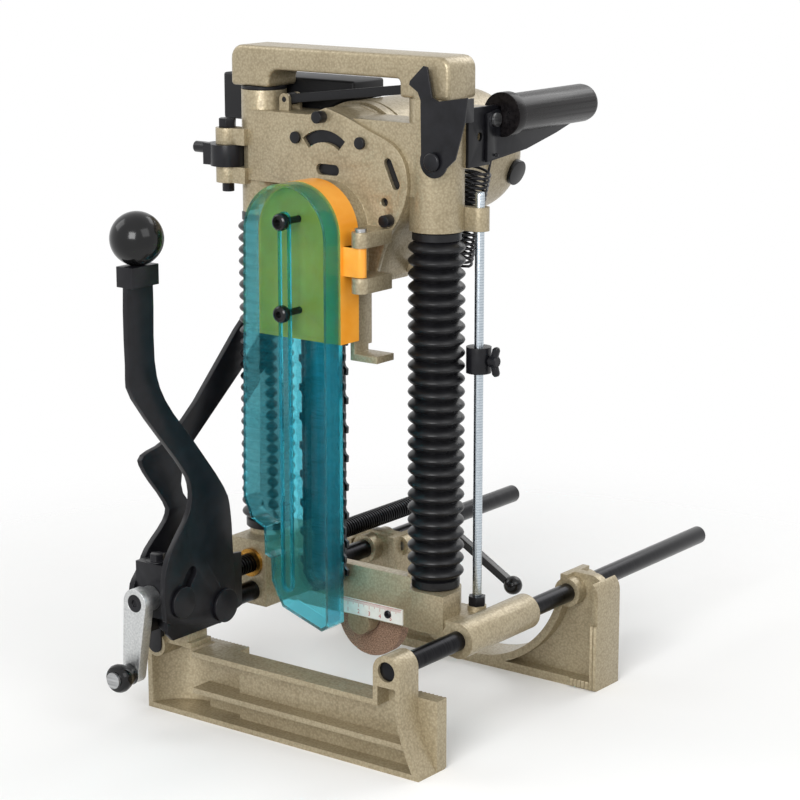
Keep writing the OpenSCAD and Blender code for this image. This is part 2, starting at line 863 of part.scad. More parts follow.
module clamp_lever() {
    pin = [clamp_pin_y, clamp_pin_z];
    arm = norm([release_pin_y, release_pin_z] - pin);
    a1 = atan2(release_pin_z - clamp_pin_z, release_pin_y - clamp_pin_y) + slot_down_deg;
    a0 = a1 - slot_down_deg - slot_up_deg;
    ball = pin + lever_dir_shares * clamp_lever_len;
    bar_low = pin[1] + lever_body * lever_body_shares[len(lever_body_shares) - 1][1]
        + lever_bar_rise;
    bar_top_z = ball[1] - lever_ball_r - collar_h;
    tip_z = ball[1] - lever_ball_r - collar_sink;
    rear = [for (p = lever_body_shares) pin + p * lever_body];
    front = [for (p = lever_front_shares) pin + p * lever_body];
    bar = [[ball[0] + lever_bar_w / 2, bar_low], [ball[0] + lever_bar_w / 2, bar_top_z],
        [ball[0] + lever_bar_w / 4, tip_z], [ball[0] - lever_bar_w / 4, tip_z],
        [ball[0] - lever_bar_w / 2, bar_top_z], [ball[0] - lever_bar_w / 2, bar_low]];
    color(black_c) {
        x_plate(clamp_lever_x, clamp_lever_x + lever_t) difference() {
            polygon(flow(concat(rear, bar, front, [rear[0]]), lever_curve_steps));
            translate(pin) circle(pin_r + fit);
            polygon(concat(arc(pin, arm + slot_r, a0, a1, slot_steps),
                arc(pin, arm - slot_r, a1, a0, slot_steps)));
            for (a = [a0, a1]) translate(pin + arm * [cos(a), sin(a)]) circle(slot_r);
        }
        translate([clamp_lever_x + lever_t / 2 - collar_t / 2, ball[0] - collar_w / 2, bar_top_z])
            cube([collar_t, collar_w, collar_h + weld]);
    }
}

module clamp_lever_ball() {
    x = clamp_lever_x + lever_t / 2;
    ball = [clamp_pin_y, clamp_pin_z] + lever_dir_shares * clamp_lever_len;
    color(black_c) intersection() {
        translate([x, ball[0], ball[1]]) sphere(lever_ball_r, $fn = 40);
        box(x - lever_ball_d, x + lever_ball_d, ball[0] - lever_ball_d, ball[0] + lever_ball_d,
            ball[1] - lever_ball_r + weld, ball[1] + lever_ball_d);
    }
}

module release_lever() {
    pin = [release_pin_y, release_pin_z];
    low_z = release_pin_z - release_body / 4;
    bend_z = release_pin_z + joggle_low;
    top_z = release_pin_z + release_len;
    first = [for (p = release_body_shares) pin + p * release_body];
    outline = concat(first, [for (p = release_end_shares) pin + p * release_len],
        [for (p = release_front_shares) pin + p * release_body], [first[0]]);
    out_x = release_x0 - release_out;
    color(black_c) difference() {
        intersection() {
            x_plate(out_x, release_x0 + lever_t) polygon(flow(outline, release_curve_steps));
            y_plate(release_pin_y - release_body, release_pin_y + release_len)
                polygon([[release_x0, low_z], [release_x0 + lever_t, low_z],
                    [release_x0 + lever_t, bend_z], [out_x + lever_t, bend_z + joggle_run],
                    [out_x + lever_t, top_z], [out_x, top_z], [out_x, bend_z + joggle_run],
                    [release_x0, bend_z]]);
        }
        x_cyl(release_pin_y, release_pin_z, release_x0 - cut, release_x0 + lever_t + cut,
            slot_pin_r + fit);
    }
}

module clamp_rod() {
    color(oxide_c) y_cyl(screw_x, rod_z, rod_front_y, rod_front_y + clamp_rod_len, clamp_rod_r);
}

module rear_jaw() {
    right_boss = right_rod_r + rear_boss_wall;
    left_boss = clamp_rod_r + rear_boss_wall;
    color(casting_c) difference() {
        union() {
            y_plate(rear_web_y, rear_web_y + rear_web_t) difference() {
                translate([rear_x0, 0]) square([rear_x1 - rear_x0, rear_h]);
                translate([arch_x, arch_z]) circle(arch_r, $fn = 96);
            }
            y_plate(rear_jaw_y + pad_t, rear_y1) intersection() {
                translate([rear_x0, 0]) square([rear_x1 - rear_x0, rear_h]);
                translate([arch_x, arch_z]) difference() {
                    circle(arch_r + arch_rim, $fn = 96);
                    circle(arch_r, $fn = 96);
                }
            }
            box(rear_x0, rear_x1, rear_jaw_y + pad_t, rear_y1, 0, jaw_wall);
            box(rear_x1 - rear_end_t, rear_x1, rear_jaw_y + pad_t, rear_y1, 0, rear_h);
            box(rear_x0, rear_x0 + jaw_wall, rear_jaw_y + pad_t, rear_y1, 0, rear_left_top);
            y_cyl(right_rod_x, rod_z, rear_jaw_y + pad_t, rear_y1, right_boss);
            y_cyl(screw_x, rod_z, rear_jaw_y + pad_t, rear_y1, left_boss);
            y_cyl(lock_pin_x, lock_pin_z, rear_web_y, rear_y1, lock_hub_r);
            box(screw_x, lock_pin_x, rear_web_y, rear_web_y + rear_web_t,
                rod_z - lock_hub_r, lock_pin_z);
            translate([0, rear_jaw_y + rear_jaw_y + pad_t, 0]) mirror([0, 1, 0]) {
                serration(rear_x1 - pad_w, pad_w, rear_jaw_y, pad_t, pad_low, jaw_h);
                serration(rear_x0, pad_w, rear_jaw_y, pad_t, pad_low, jaw_h);
            }
            for (x = [rear_x0, rear_x1 - pad_w])
                box(x, x + pad_w, rear_jaw_y + pad_t, rear_web_y + weld, 0, jaw_h);
        }
        y_cyl(right_rod_x, rod_z, rear_jaw_y - cut, rear_y1 + cut, right_rod_r + fit);
        y_cyl(screw_x, rod_z, rear_jaw_y - cut, rear_y1 + cut, clamp_rod_r + fit);
        y_cyl(lock_pin_x, lock_pin_z, rear_web_y - cut, rear_y1 + cut, lock_pin_r + fit);
        y_cyl(screw_x, screw_z, rear_jaw_y - cut, rear_y1 + cut, screw_r + gap);
    }
}

module rear_lock_pin() {
    color(steel_c) {
        y_cyl(lock_pin_x, lock_pin_z, rear_web_y, lock_y + lock_hub_t + gap + weld, lock_pin_r);
        y_cyl(lock_pin_x, lock_pin_z, lock_y + lock_hub_t + gap,
            lock_y + lock_hub_t + gap + lock_head_t, lock_pin_r + pin_head_rim);
    }
}

module rear_lock_lever() {
    y = lock_y + lock_hub_t / 2;
    color(black_c) difference() {
        union() {
            y_cyl(lock_pin_x, lock_pin_z, lock_y, lock_y + lock_hub_t, lock_hub_r);
            y_plate(y - lock_shaft_r, y + lock_shaft_r) {
                strip([lock_pin_x, lock_pin_z], [lock_bend_x, lock_bend_z],
                    lock_shaft_r + lock_shaft_r);
                strip([lock_bend_x, lock_bend_z], [lock_ball_x, lock_ball_z],
                    lock_shaft_r + lock_shaft_r);
            }
            translate([lock_ball_x, y, lock_ball_z]) sphere(lock_ball_r, $fn = 32);
        }
        y_cyl(lock_pin_x, lock_pin_z, lock_y - cut, lock_y + lock_hub_t + cut,
            lock_pin_r + fit);
    }
}

module crank_arm() {
    color(alu_c) difference() {
        union() {
            y_plate(arm_y0, arm_y0 + arm_t) hull() {
                translate([screw_x, screw_z]) circle(hub_r);
                translate([knob_x, knob_z]) circle(arm_end_r);
            }
            y_cyl(screw_x, screw_z, arm_y0 + arm_t - weld, hub_back, hub_r - pin_head_rim);
        }
        y_cyl(screw_x, screw_z, arm_y0 + arm_t / 2, hub_back + cut, journal_r + fit);
        y_cyl(screw_x, screw_z, arm_y0 - cut, hub_back, crank_screw_r + fit);
        y_cyl(screw_x, screw_z, arm_y0 - cut, arm_y0 + crank_screw_t, crank_head_r + fit);
        y_cyl(knob_x, knob_z, arm_y0 - cut, arm_y0 + arm_t + cut, knob_pin_r + fit);
    }
}

module crank_screw() {
    color(black_c) difference() {
        union() {
            y_cyl(screw_x, screw_z, arm_y0 + crank_screw_t - weld, arm_y0 + arm_t / 2,
                crank_screw_r);
            y_cyl(screw_x, screw_z, arm_y0, arm_y0 + crank_screw_t, crank_head_r);
        }
        translate([screw_x, arm_y0 + crank_screw_t / 2, screw_z]) rotate([90, 0, 0])
            cylinder(h = crank_screw_t, r = crank_screw_r * 3 / 4, $fn = 6);
    }
}

module knob_pin() {
    knob_y1 = arm_y0 - gap;
    color(steel_c) {
        y_cyl(knob_x, knob_z, knob_y1 - knob_l - gap - weld, arm_y0 + arm_t, knob_pin_r);
        y_cyl(knob_x, knob_z, knob_y1 - knob_l - gap - knob_head_t, knob_y1 - knob_l - gap,
            knob_head_r);
        y_cyl(knob_x, knob_z, arm_y0 + arm_t, arm_y0 + arm_t + knob_head_t / 2,
            knob_pin_r + knob_head_t / 2);
    }
}

module crank_knob() {
    knob_y1 = arm_y0 - gap;
    color(black_c) difference() {
        union() {
            y_cyl(knob_x, knob_z, knob_y1 - knob_l, knob_y1 - knob_l / 8, knob_r);
            y_cyl(knob_x, knob_z, knob_y1 - knob_l / 2, knob_y1, knob_r * 3 / 4);
        }
        y_cyl(knob_x, knob_z, knob_y1 - knob_l - cut, knob_y1 + cut, knob_pin_r + fit);
    }
}

module lead_screw() {
    color(oxide_c) {
        y_cyl(screw_x, screw_z, arm_y0 + arm_t / 2, screw_y0 + weld, journal_r);
        y_cyl(screw_x, screw_z, screw_y0, screw_y0 + screw_len, screw_r);
    }
}

module carriage() {
    color(casting_c) difference() {
        union() {
            box(beam_x0, beam_x1, beam_y, beam_y + beam_t, beam_z, beam_z + beam_h);
            y_cyl(right_rod_x, rod_z, tube_y0, tube_y1, tube_r);
            box(right_column_x, right_rod_x, beam_y, web_y1, beam_z, beam_z + web_t);
            z_cyl(right_column_x, column_y, beam_z, socket_top, socket_r);
            box(beam_x1 - weld, block_x1, block_y0, column_y, beam_z, socket_top);
            box(left_block_x0, left_block_x1, left_block_y0, left_block_y1, left_block_z0,
                left_block_z1);
            z_cyl(left_column_x, column_y, left_block_z1 - weld, left_block_z1 + left_neck_h,
                left_neck_r);
            z_cyl(depth_x, depth_y, beam_z, depth_boss_top, depth_boss_r);
            y_cyl(stone_x, stone_z, beam_y, beam_y + beam_t + spindle_boss_l, spindle_boss_r);
        }
        y_cyl(right_rod_x, rod_z, tube_y0 - cut, tube_y1 + cut, right_rod_r + fit);
        y_cyl(screw_x, rod_z, left_block_y0 - cut, left_block_y1 + cut, clamp_rod_r + fit);
        y_cyl(screw_x, screw_z, left_block_y0 - cut, left_block_y1 + cut, screw_r + gap);
        y_cyl(screw_x, screw_z, left_block_y0 - cut, left_block_y0 + nut_l, nut_r);
        z_cyl(right_column_x, column_y, right_column_z, socket_top + cut, column_r + fit);
        z_cyl(right_column_x, column_y, socket_top, beam_z + beam_h + cut, bellows_r + gap);
        z_cyl(left_column_x, column_y, left_column_z, left_block_z1 + left_neck_h + cut,
            column_r + fit);
        z_cyl(depth_x, depth_y, depth_foot_z, depth_boss_top + cut, depth_r + fit);
        y_cyl(stone_x, stone_z, beam_y + beam_t / 2, stone_y0, spindle_r + fit);
        y_cyl(ruler_screw_x, ruler_z + ruler_h / 2, beam_y - cut, beam_y + ruler_screw_l,
            ruler_screw_r + fit);
    }
}

module feed_nut() {
    color(bronze_c) difference() {
        union() {
            y_cyl(screw_x, screw_z, left_block_y0 - weld, left_block_y0 + nut_l, nut_r);
            y_cyl(screw_x, screw_z, left_block_y0 - nut_flange_t, left_block_y0,
                nut_flange_r);
        }
        y_cyl(screw_x, screw_z, left_block_y0 - nut_flange_t - cut,
            left_block_y0 + nut_l + cut, screw_r + fit);
    }
}

module right_column() {
    color(steel_c) z_cyl(right_column_x, column_y, right_column_z, column_top, column_r);
}

module left_column() {
    color(steel_c) z_cyl(left_column_x, column_y, left_column_z, column_top, column_r);
}

module ruler() {
    color(white_c) difference() {
        box(ruler_x0, ruler_x0 + ruler_l, beam_y - ruler_t, beam_y, ruler_z, ruler_z + ruler_h);
        y_cyl(ruler_screw_x, ruler_z + ruler_h / 2, beam_y - ruler_t - cut, beam_y + cut,
            ruler_screw_r + fit);
    }
}

module depth_rod() {
    color(zinc_c) z_cyl(depth_x, depth_y, depth_foot_z, depth_top, depth_r);
}

module depth_rod_nut() {
    color(zinc_c) difference() {
        translate([depth_x, depth_y, depth_boss_top])
            cylinder(h = depth_nut_h, r = depth_nut_r, $fn = 6);
        z_cyl(depth_x, depth_y, depth_boss_top - cut, depth_boss_top + depth_nut_h + cut,
            depth_r + fit);
    }
}

module depth_collar() {
    color(black_c) difference() {
        z_cyl(depth_x, depth_y, collar_z, collar_z + collar_h2, collar_r);
        z_cyl(depth_x, depth_y, collar_z - cut, collar_z + collar_h2 + cut, depth_r + fit);
        x_cyl(depth_y, collar_z + collar_h2 / 2, depth_x, depth_x + collar_r + cut,
            wing_r + fit);
    }
}

module wing_bolt() {
    z = collar_z + collar_h2 / 2;
    x0 = depth_x + depth_r + gap;
    color(steel_c) {
        x_cyl(depth_y, z, x0, x0 + wing_l, wing_r);
        x_cyl(depth_y, z, x0 + wing_out, x0 + wing_l, wing_r + wing_r);
        x_plate(x0 + wing_l - wing_t, x0 + wing_l) {
            translate([depth_y - wing_w / 2, z]) square([wing_w, wing_h]);
            translate([depth_y - wing_w / 2, z - wing_h]) square([wing_w, wing_h]);
        }
    }
}

module grindstone() {
    color(stone_c) difference() {
        y_cyl(stone_x, stone_z, stone_y0 + gap, stone_y0 + gap + stone_t, stone_d / 2);
        y_cyl(stone_x, stone_z, stone_y0 - cut, stone_y0 + stone_t + cut, spindle_r + fit);
    }
}

module stone_spindle() {
    y1 = stone_y0 + gap + stone_t + gap;
    color(steel_c) {
        y_cyl(stone_x, stone_z, beam_y + beam_t / 2, y1 + weld, spindle_r);
        y_cyl(stone_x, stone_z, stone_y0 - spindle_flange_t, stone_y0,
            spindle_nut_r);
        translate([stone_x, y1, stone_z]) rotate([-90, 0, 0])
            cylinder(h = spindle_nut_t, r = spindle_nut_r, $fn = 6);
    }
}

// One ribbed rubber cover with its bore
module bellows(x, z0) {
    l = bellows_top - z0 - bellows_end - bellows_end;
    pitch = l / rib_count;
    valley = bellows_r - rib_depth;
    cuff = valley + bellows_rim;
    bore = valley - bellows_wall;
    top = bellows_end + l + bellows_end;
    ribs = [for (i = [0 : rib_count - 1]) each [
        [valley, bellows_end + i * pitch], [bellows_r, bellows_end + (i + 1 / 2) * pitch]]];
    color(black_c) translate([x, column_y, z0]) rotate_extrude()
        polygon(concat([[bore, 0], [cuff, 0], [cuff, bellows_end]], ribs,
            [[valley, bellows_end + l], [cuff, bellows_end + l], [cuff, top], [bore, top]]));
}

module right_bellows() {
    bellows(right_column_x, right_bellows_z);
}

module left_bellows() {
    bellows(left_column_x, left_bellows_z);
}

// The two return springs inside the bellows, as plain sleeves
module column_springs() {
    color(steel_c) for (p = [[right_column_x, right_bellows_z], [left_column_x, left_bellows_z]])
        translate([p[0], column_y, 0]) difference() {
            z_cyl(0, 0, p[1], bellows_top, spring_in_r + spring_wire);
            z_cyl(0, 0, p[1] - cut, bellows_top + cut, spring_in_r);
        }
}

// Rim of the gear case and of the plate that closes it
module case_outline() {
    polygon([for (p = concat(case_left_shares, flow(case_right_shares, case_curve_steps)))
        [sprocket_x + p[0] * case_w, sprocket_z + p[1] * case_h]]);
}

module head_casting() {
    color(casting_c) difference() {
        union() {
            z_cyl(right_column_x, column_y, sleeve_z, right_sleeve_top, right_sleeve_r);
            z_cyl(left_column_x, column_y, sleeve_z, left_sleeve_top, left_sleeve_r);
            box(left_column_x, right_column_x, case_y0 + gap, case_y1, head_low, head_top);
            y_plate(case_y0, case_y1) case_outline();
            y_cyl(motor_x, motor_z, case_y1 - motor_flange_t, case_y1, motor_flange_r);
            z_cyl(depth_x, depth_y, sleeve_z, sleeve_z + tab_h, tab_r);
            box(right_column_x, depth_x, depth_y - tab_r, depth_y, sleeve_z, sleeve_z + tab_h);
            y_cyl(lock_x, lock_z, lock_y0 + lock_t, column_y, lock_boss_r);
            box(grip_bracket_x - grip_lug_w, grip_bracket_x, grip_lug_y0, grip_lug_y1,
                grip_lug_z0, grip_lug_z1);
            y_plate(case_y1 - post_r, case_y1)
                strip([post_foot_x, post_z], [post_x, post_z], post_r + post_r);
            y_cyl(post_x, post_z, case_y1 - weld, post_y + post_r, post_r);
            for (z = [latch_low_z, latch_top_z - latch_lug_h]) {
                z_cyl(latch_x, latch_y, z, z + latch_lug_h, latch_lug_r);
                box(latch_x, left_column_x, latch_y - latch_lug_r / 2, latch_y + latch_lug_r,
                    z, z + latch_lug_h);
            }
            for (y = [switch_y - gap - switch_lug_t, switch_y + switch_w + gap])
                y_plate(y, y + switch_lug_t) strip([switch_pivot_x, head_top - switch_hub_r],
                    [switch_pivot_x, switch_pivot_z], switch_hub_r * 2);
        }
        y_cyl(sprocket_x, sprocket_z, case_y0 - cut, case_wall_y, gear_r + cut);
        y_cyl(motor_x, motor_z, case_y0 - cut, case_wall_y, pinion_r + cut);
        y_cyl(sprocket_x, sprocket_z, case_y0, case_y1 - motor_flange_t, shaft_r + fit);
        y_cyl(motor_x, motor_z, case_y0, case_y1 + cut, arm_shaft_r + fit);
        z_cyl(right_column_x, column_y, sleeve_z - cut, right_sleeve_top + cut,
            column_r + fit);
        z_cyl(left_column_x, column_y, sleeve_z - cut, left_sleeve_top + cut,
            column_r + fit);
        z_cyl(depth_x, depth_y, sleeve_z - cut, sleeve_z + tab_h + cut, depth_r + fit);
        y_cyl(lock_x, lock_z, lock_y0, lock_y0 + lock_t + lock_screw_l, lock_screw_r + fit);
        z_cyl(latch_x, latch_y, latch_low_z - cut, latch_top_z + cut, latch_r + fit);
        z_cyl(latch_x, latch_y, latch_low_z + latch_lug_h, latch_top_z - latch_lug_h,
            latch_hub_r + gap);
        y_cyl(switch_pivot_x, switch_pivot_z, switch_y - switch_w,
            switch_y + switch_w + switch_w, switch_pin_r + fit);
        for (p = plate_screw_shares) y_cyl(sprocket_x + p[0] * case_w,
            sprocket_z + p[1] * case_h, case_y0 - cut, plate_y0 + plate_screw_l,
            plate_screw_r + fit);
        x_cyl(post_y, post_z, post_x - post_r - cut, post_x + post_r + cut,
            coil_wire_r + fit * 4);
        x_cyl(squeeze_y - squeeze_head_r * 3, grip_z - grip_d / 2,
            grip_bracket_x - grip_lug_w / 2, grip_bracket_x + cut, squeeze_pin_r + fit);
    }
}

// Chain box wall: round over the sprocket, open at the bottom
module box_outline(r, low) {
    translate([sprocket_x, sprocket_z]) circle(r);
    translate([sprocket_x - r, low]) square([r + r, sprocket_z - low]);
}

module gear_plate() {
    color(casting_c) difference() {
        union() {
            y_plate(plate_y0, case_y0) {
                case_outline();
                box_outline(cover_r, box_low);
            }
            y_plate(box_y0, plate_y0 + weld) difference() {
                box_outline(cover_r, box_low);
                box_outline(cover_r - box_wall, box_low - cut);
            }
            y_cyl(sprocket_x, bar_bolt_z, bar_y0 + bar_t, plate_y0 + weld,
                bar_bolt_r + bar_bolt_r);
            box(cover_x1 - box_wall, cover_x1 + foot_w, box_y0, box_y0 + foot_d, foot_z,
                foot_z + foot_t);
            box(cover_x1 - box_wall, cover_x1, box_y0, plate_y0, foot_z, box_low + weld);
            for (z = [barrel_z0 - gap - lug_h, barrel_z1 + gap]) {
                z_cyl(hinge_x, hinge_y, z, z + lug_h, lug_r);
                box(hinge_x - lug_r, hinge_x + lug_r, hinge_y, plate_y0 + weld, z, z + lug_h);
                box(cover_x1 - box_wall, hinge_x, box_y0, plate_y0 + weld, z, z + lug_h);
            }
        }
        y_cyl(sprocket_x, sprocket_z, box_y0, case_y0 + cut, shaft_r + fit);
        y_cyl(sprocket_x, bar_bolt_z, bar_y0, case_y0 + cut, bar_bolt_r + fit);
        z_cyl(hinge_x, hinge_y, barrel_z0 - lug_h - cut, barrel_z1 + lug_h + cut,
            hinge_pin_r + fit);
        for (p = plate_screw_shares) y_cyl(sprocket_x + p[0] * case_w,
            sprocket_z + p[1] * case_h, plate_y0 - cut, case_y0 + cut,
            plate_screw_r + fit);
        y_plate(plate_y0 - cut, case_y0 + cut) {
            polygon(concat(arc([motor_x, motor_z], arch_slot_r, 90 - arch_slot_deg,
                90 + arch_slot_deg, arch_steps), arc([motor_x, motor_z],
                arch_slot_r - arch_slot_w, 90 + arch_slot_deg, 90 - arch_slot_deg,
                arch_steps)));
            strip([low_slot_x, low_slot_z], [low_slot_x + low_slot_w, low_slot_z], low_slot_h);
            polygon(concat(arc([side_slot_x0, side_slot_z0], side_slot_w / 2, side_slot_deg + 90,
                side_slot_deg + 270, arch_steps), arc([side_slot_x1, side_slot_z1],
                side_slot_w / 2, side_slot_deg - 90, side_slot_deg + 90, arch_steps)));
            translate([side_hole_x, side_hole_z]) circle(side_hole_r);
        }
    }
}

module hinge_pin() {
    z1 = barrel_z1 + gap + lug_h;
    color(steel_c) {
        z_cyl(hinge_x, hinge_y, barrel_z0 - gap - lug_h, z1 + weld, hinge_pin_r);
        z_cyl(hinge_x, hinge_y, z1, z1 + cover_wall, hinge_r);
    }
}

module plate_screws() {
    last = len(plate_screw_shares) - 1;
    color(black_c) for (i = [0 : last]) {
        x = sprocket_x + plate_screw_shares[i][0] * case_w;
        z = sprocket_z + plate_screw_shares[i][1] * case_h;
        head_t = i == 0 || i == last ? plate_screw_tall : plate_screw_head_t;
        y_cyl(x, z, plate_y0 - weld, plate_y0 + plate_screw_l, plate_screw_r);
        y_cyl(x, z, plate_y0 - head_t, plate_y0, plate_screw_head_r);
    }
}

module sprocket() {
    color(steel_c) {
        y_cyl(sprocket_x, sprocket_z, chain_y, gear_y0 + gear_t + cut, shaft_r);
        y_cyl(sprocket_x, sprocket_z, chain_y, plate_y0 - gap, chain_in_r - gap);
        y_cyl(sprocket_x, sprocket_z, gear_y0, gear_y0 + gear_t, gear_r);
    }
}

module guide_bar() {
    r = chain_in_r - gap;
    color(steel_c) difference() {
        y_plate(bar_y0, bar_y0 + bar_t) {
            translate([sprocket_x, chain_low_z]) circle(r);
            translate([sprocket_x - r, chain_low_z]) square([r + r, bar_top - chain_low_z]);
        }
        y_cyl(sprocket_x, bar_bolt_z, bar_y0 - cut, bar_y0 + bar_t + cut, bar_bolt_r + fit);
    }
}

module bar_bolt() {
    color(steel_c) {
        y_cyl(sprocket_x, bar_bolt_z, bar_y0 - weld, case_y0, bar_bolt_r);
        y_cyl(sprocket_x, bar_bolt_z, bar_y0 - bar_bolt_head_t, bar_y0, bar_bolt_head_r);
    }
}

// Loop of links round the bar, with a raked tooth on every link
module saw_chain() {
    r_out = chain_w / 2 - tooth_t;
    tooth = [[-chain_pitch / 3, -weld], [chain_pitch / 4, -weld], [chain_pitch / 3, tooth_t],
        [0, tooth_t * 2 / 3]];
    color(steel_c) y_plate(chain_y, chain_y + chain_t) {
        difference() {
            union() {
                translate([sprocket_x, chain_low_z]) circle(r_out);
                translate([sprocket_x, sprocket_z]) circle(r_out);
                translate([sprocket_x - r_out, chain_low_z]) square([r_out + r_out, chain_run]);
            }
            translate([sprocket_x, chain_low_z]) circle(chain_in_r);
            translate([sprocket_x, sprocket_z]) circle(chain_in_r);
            translate([sprocket_x - chain_in_r, chain_low_z])
                square([chain_in_r + chain_in_r, chain_run]);
        }
        for (i = [0 : straight_links - 1]) {
            z = (i + 1 / 2) * chain_run / straight_links;
            translate([sprocket_x + r_out, chain_low_z + z]) rotate(-90) polygon(tooth);
            translate([sprocket_x - r_out, sprocket_z - z]) rotate(90) polygon(tooth);
        }
        for (i = [0 : arc_links - 1]) {
            a = (i + 1 / 2) * 180 / arc_links;
            translate([sprocket_x, chain_low_z]) rotate(-a) translate([r_out, 0])
                rotate(-90) polygon(tooth);
            translate([sprocket_x, sprocket_z]) rotate(a) translate([r_out, 0])
                rotate(-90) polygon(tooth);
        }
    }
}

// Half section of the motor housing, from its open front to the domed rear
module motor_section(r, l, dome) {
    polygon(concat([[0, 0], [r, 0]], [for (i = [0 : dome_steps])
        [r - dome / 2 + dome / 2 * cos(90 * i / dome_steps),
        l - dome + dome * sin(90 * i / dome_steps)]], [[0, l]]));
}

// Places the two brush caps on opposite sides of the motor
module at_caps() {
    for (a = [0, 180]) translate([motor_x, cap_y, motor_z]) rotate([0, 90 + cap_deg + a, 0])
        translate([0, 0, motor_r - cap_in]) children();
}

module motor_housing() {
    inner_l = motor_len - motor_wall;
    color(casting_c) difference() {
        translate([motor_x, case_y1, motor_z]) rotate([-90, 0, 0]) difference() {
            rotate_extrude() motor_section(motor_r, motor_len, dome_l);
            translate([0, 0, -cut]) cylinder(h = inner_l - dome_l / 2 + cut,
                r = motor_r - motor_wall);
            translate([0, 0, inner_l - dome_l]) cylinder(h = dome_l - motor_wall,
                r = arm_shaft_r + fit);
        }
        at_caps() cylinder(h = cap_in + cap_in, r = cap_r + fit);
    }
}

module stator() {
    color(steel_c) difference() {
        y_cyl(motor_x, motor_z, stator_y0, stator_y0 + stator_l, motor_r - motor_wall - fit);
        y_cyl(motor_x, motor_z, stator_y0 - cut, stator_y0 + stator_l + cut, stator_in_r);
    }
}

module armature() {
    color(steel_c) {
        y_cyl(motor_x, motor_z, gear_y0, motor_y1 - motor_wall - motor_wall - gap, arm_shaft_r);
        y_cyl(motor_x, motor_z, gear_y0, gear_y0 + gear_t, pinion_r);
        y_cyl(motor_x, motor_z, fan_y0, fan_y0 + fan_t, fan_r);
        y_cyl(motor_x, motor_z, stator_y0, stator_y0 + stator_l, core_r);
        y_cyl(motor_x, motor_z, comm_y1 - comm_l, comm_y1, comm_r);
    }
}

module brush_caps() {
    color(black_c) at_caps() cylinder(h = cap_in + cap_out, r = cap_r);
}

module top_handle() {
    top = handle_z + handle_t;
    c = handle_corner;
    color(casting_c) {
        difference() {
            union() {
                y_plate(handle_y0, handle_y1) difference() {
                    polygon(concat([[handle_x0, left_sleeve_top + ring_t],
                        [handle_x1, left_sleeve_top + ring_t]],
                        arc([handle_x1 - c, top - c], c, 0, 90, handle_steps),
                        arc([handle_x0 + c, top - c], c, 90, 180, handle_steps)));
                    translate([handle_open_x0, left_sleeve_top])
                        square([handle_open_x1 - handle_open_x0, handle_z - left_sleeve_top]);
                }
                z_cyl(right_column_x, column_y, right_sleeve_top, handle_z,
                    column_r + handle_sleeve_wall);
            }
            z_cyl(right_column_x, column_y, right_sleeve_top - cut, column_top + column_rise,
                column_r + gap);
            z_cyl(left_column_x, column_y, left_sleeve_top - cut, column_top + column_rise,
                column_r + gap);
            y_cyl(left_column_x, handle_z - handle_hole_drop, handle_y0 - cut,
                handle_y0 + handle_hole_d / 2, handle_hole_r);
        }
    }
    color(black_c) difference() {
        z_cyl(left_column_x, column_y, left_sleeve_top, left_sleeve_top + ring_t,
            left_sleeve_r);
        z_cyl(left_column_x, column_y, left_sleeve_top - cut, handle_z, column_r + gap);
    }
}

module switch_housing() {
    color(black_c) difference() {
        box(housing_x0, housing_x1, case_y1, housing_y1, housing_z0, housing_z0 + housing_h);
        y_cyl(motor_x, motor_z, case_y1 - cut, housing_y1 + cut, motor_r + gap);
    }
}

// Bar under the handle that is squeezed upwards
module switch_lever() {
    color(black_c) {
        difference() {
            y_plate(switch_y, switch_y + switch_w) union() {
                translate([switch_pivot_x, switch_pivot_z]) circle(switch_hub_r);
                translate([switch_pivot_x, switch_pivot_z]) rotate(switch_tilt)
                    translate([0, -switch_t / 2]) square([switch_len, switch_t]);
            }
            y_cyl(switch_pivot_x, switch_pivot_z, switch_y - cut, switch_y + switch_w + cut,
                switch_pin_r);
        }
        y_cyl(switch_pivot_x, switch_pivot_z, switch_y - gap - switch_lug_t,
            switch_y + switch_w + gap + switch_lug_t, switch_pin_r);
    }
}

module side_grip() {
    r = grip_d / 2;
    e = grip_end_r;
    color(black_c) difference() {
        translate([grip_x, grip_y0, grip_z]) rotate([-90, 0, 0]) rotate_extrude()
            polygon(concat([[0, 0], [r + grip_flare, 0], [r + grip_flare, collar_l],
                [r, collar_l + grip_flare]], arc([r - e, grip_l - e], e, 0, 90, grip_end_steps),
                [[0, grip_l]]));
        box(grip_bracket_x, squeeze_x + squeeze_t + gap, grip_y0 - cut,
            grip_y0 + grip_l - r / 3, grip_z - grip_d, grip_slot_z);
    }
}

module grip_bracket() {
    z = grip_z - grip_d / 2;
    y = squeeze_y - squeeze_head_r * 3;
    color(black_c) difference() {
        x_plate(grip_bracket_x, grip_bracket_x + grip_bracket_t) {
            translate([grip_lug_y0, grip_lug_z0])
                square([squeeze_y + squeeze_head_r - grip_lug_y0, grip_lug_z1 - grip_lug_z0]);
            translate([squeeze_y, grip_slot_z - tongue_h])
                square([grip_y0 + tongue_l - squeeze_y, tongue_h]);
        }
        x_cyl(squeeze_y, squeeze_z, grip_bracket_x - cut, squeeze_x, squeeze_pin_r + fit);
        x_cyl(y, z, grip_bracket_x - cut, squeeze_x, squeeze_pin_r + fit);
        box(grip_bracket_x - cut, squeeze_x, coil_y0 - coil_wire_r * 3,
            squeeze_y + squeeze_head_r + cut, grip_lug_z0 - cut, hook_z + coil_wire_r * 3);
    }
}

// Pivot of the squeeze lever
module squeeze_pin() {
    x1 = squeeze_x + squeeze_t + gap;
    color(steel_c) {
        x_cyl(squeeze_y, squeeze_z, grip_bracket_x - weld, x1 + weld, squeeze_pin_r);
        x_cyl(squeeze_y, squeeze_z, x1, x1 + squeeze_head_t, squeeze_head_r);
    }
}

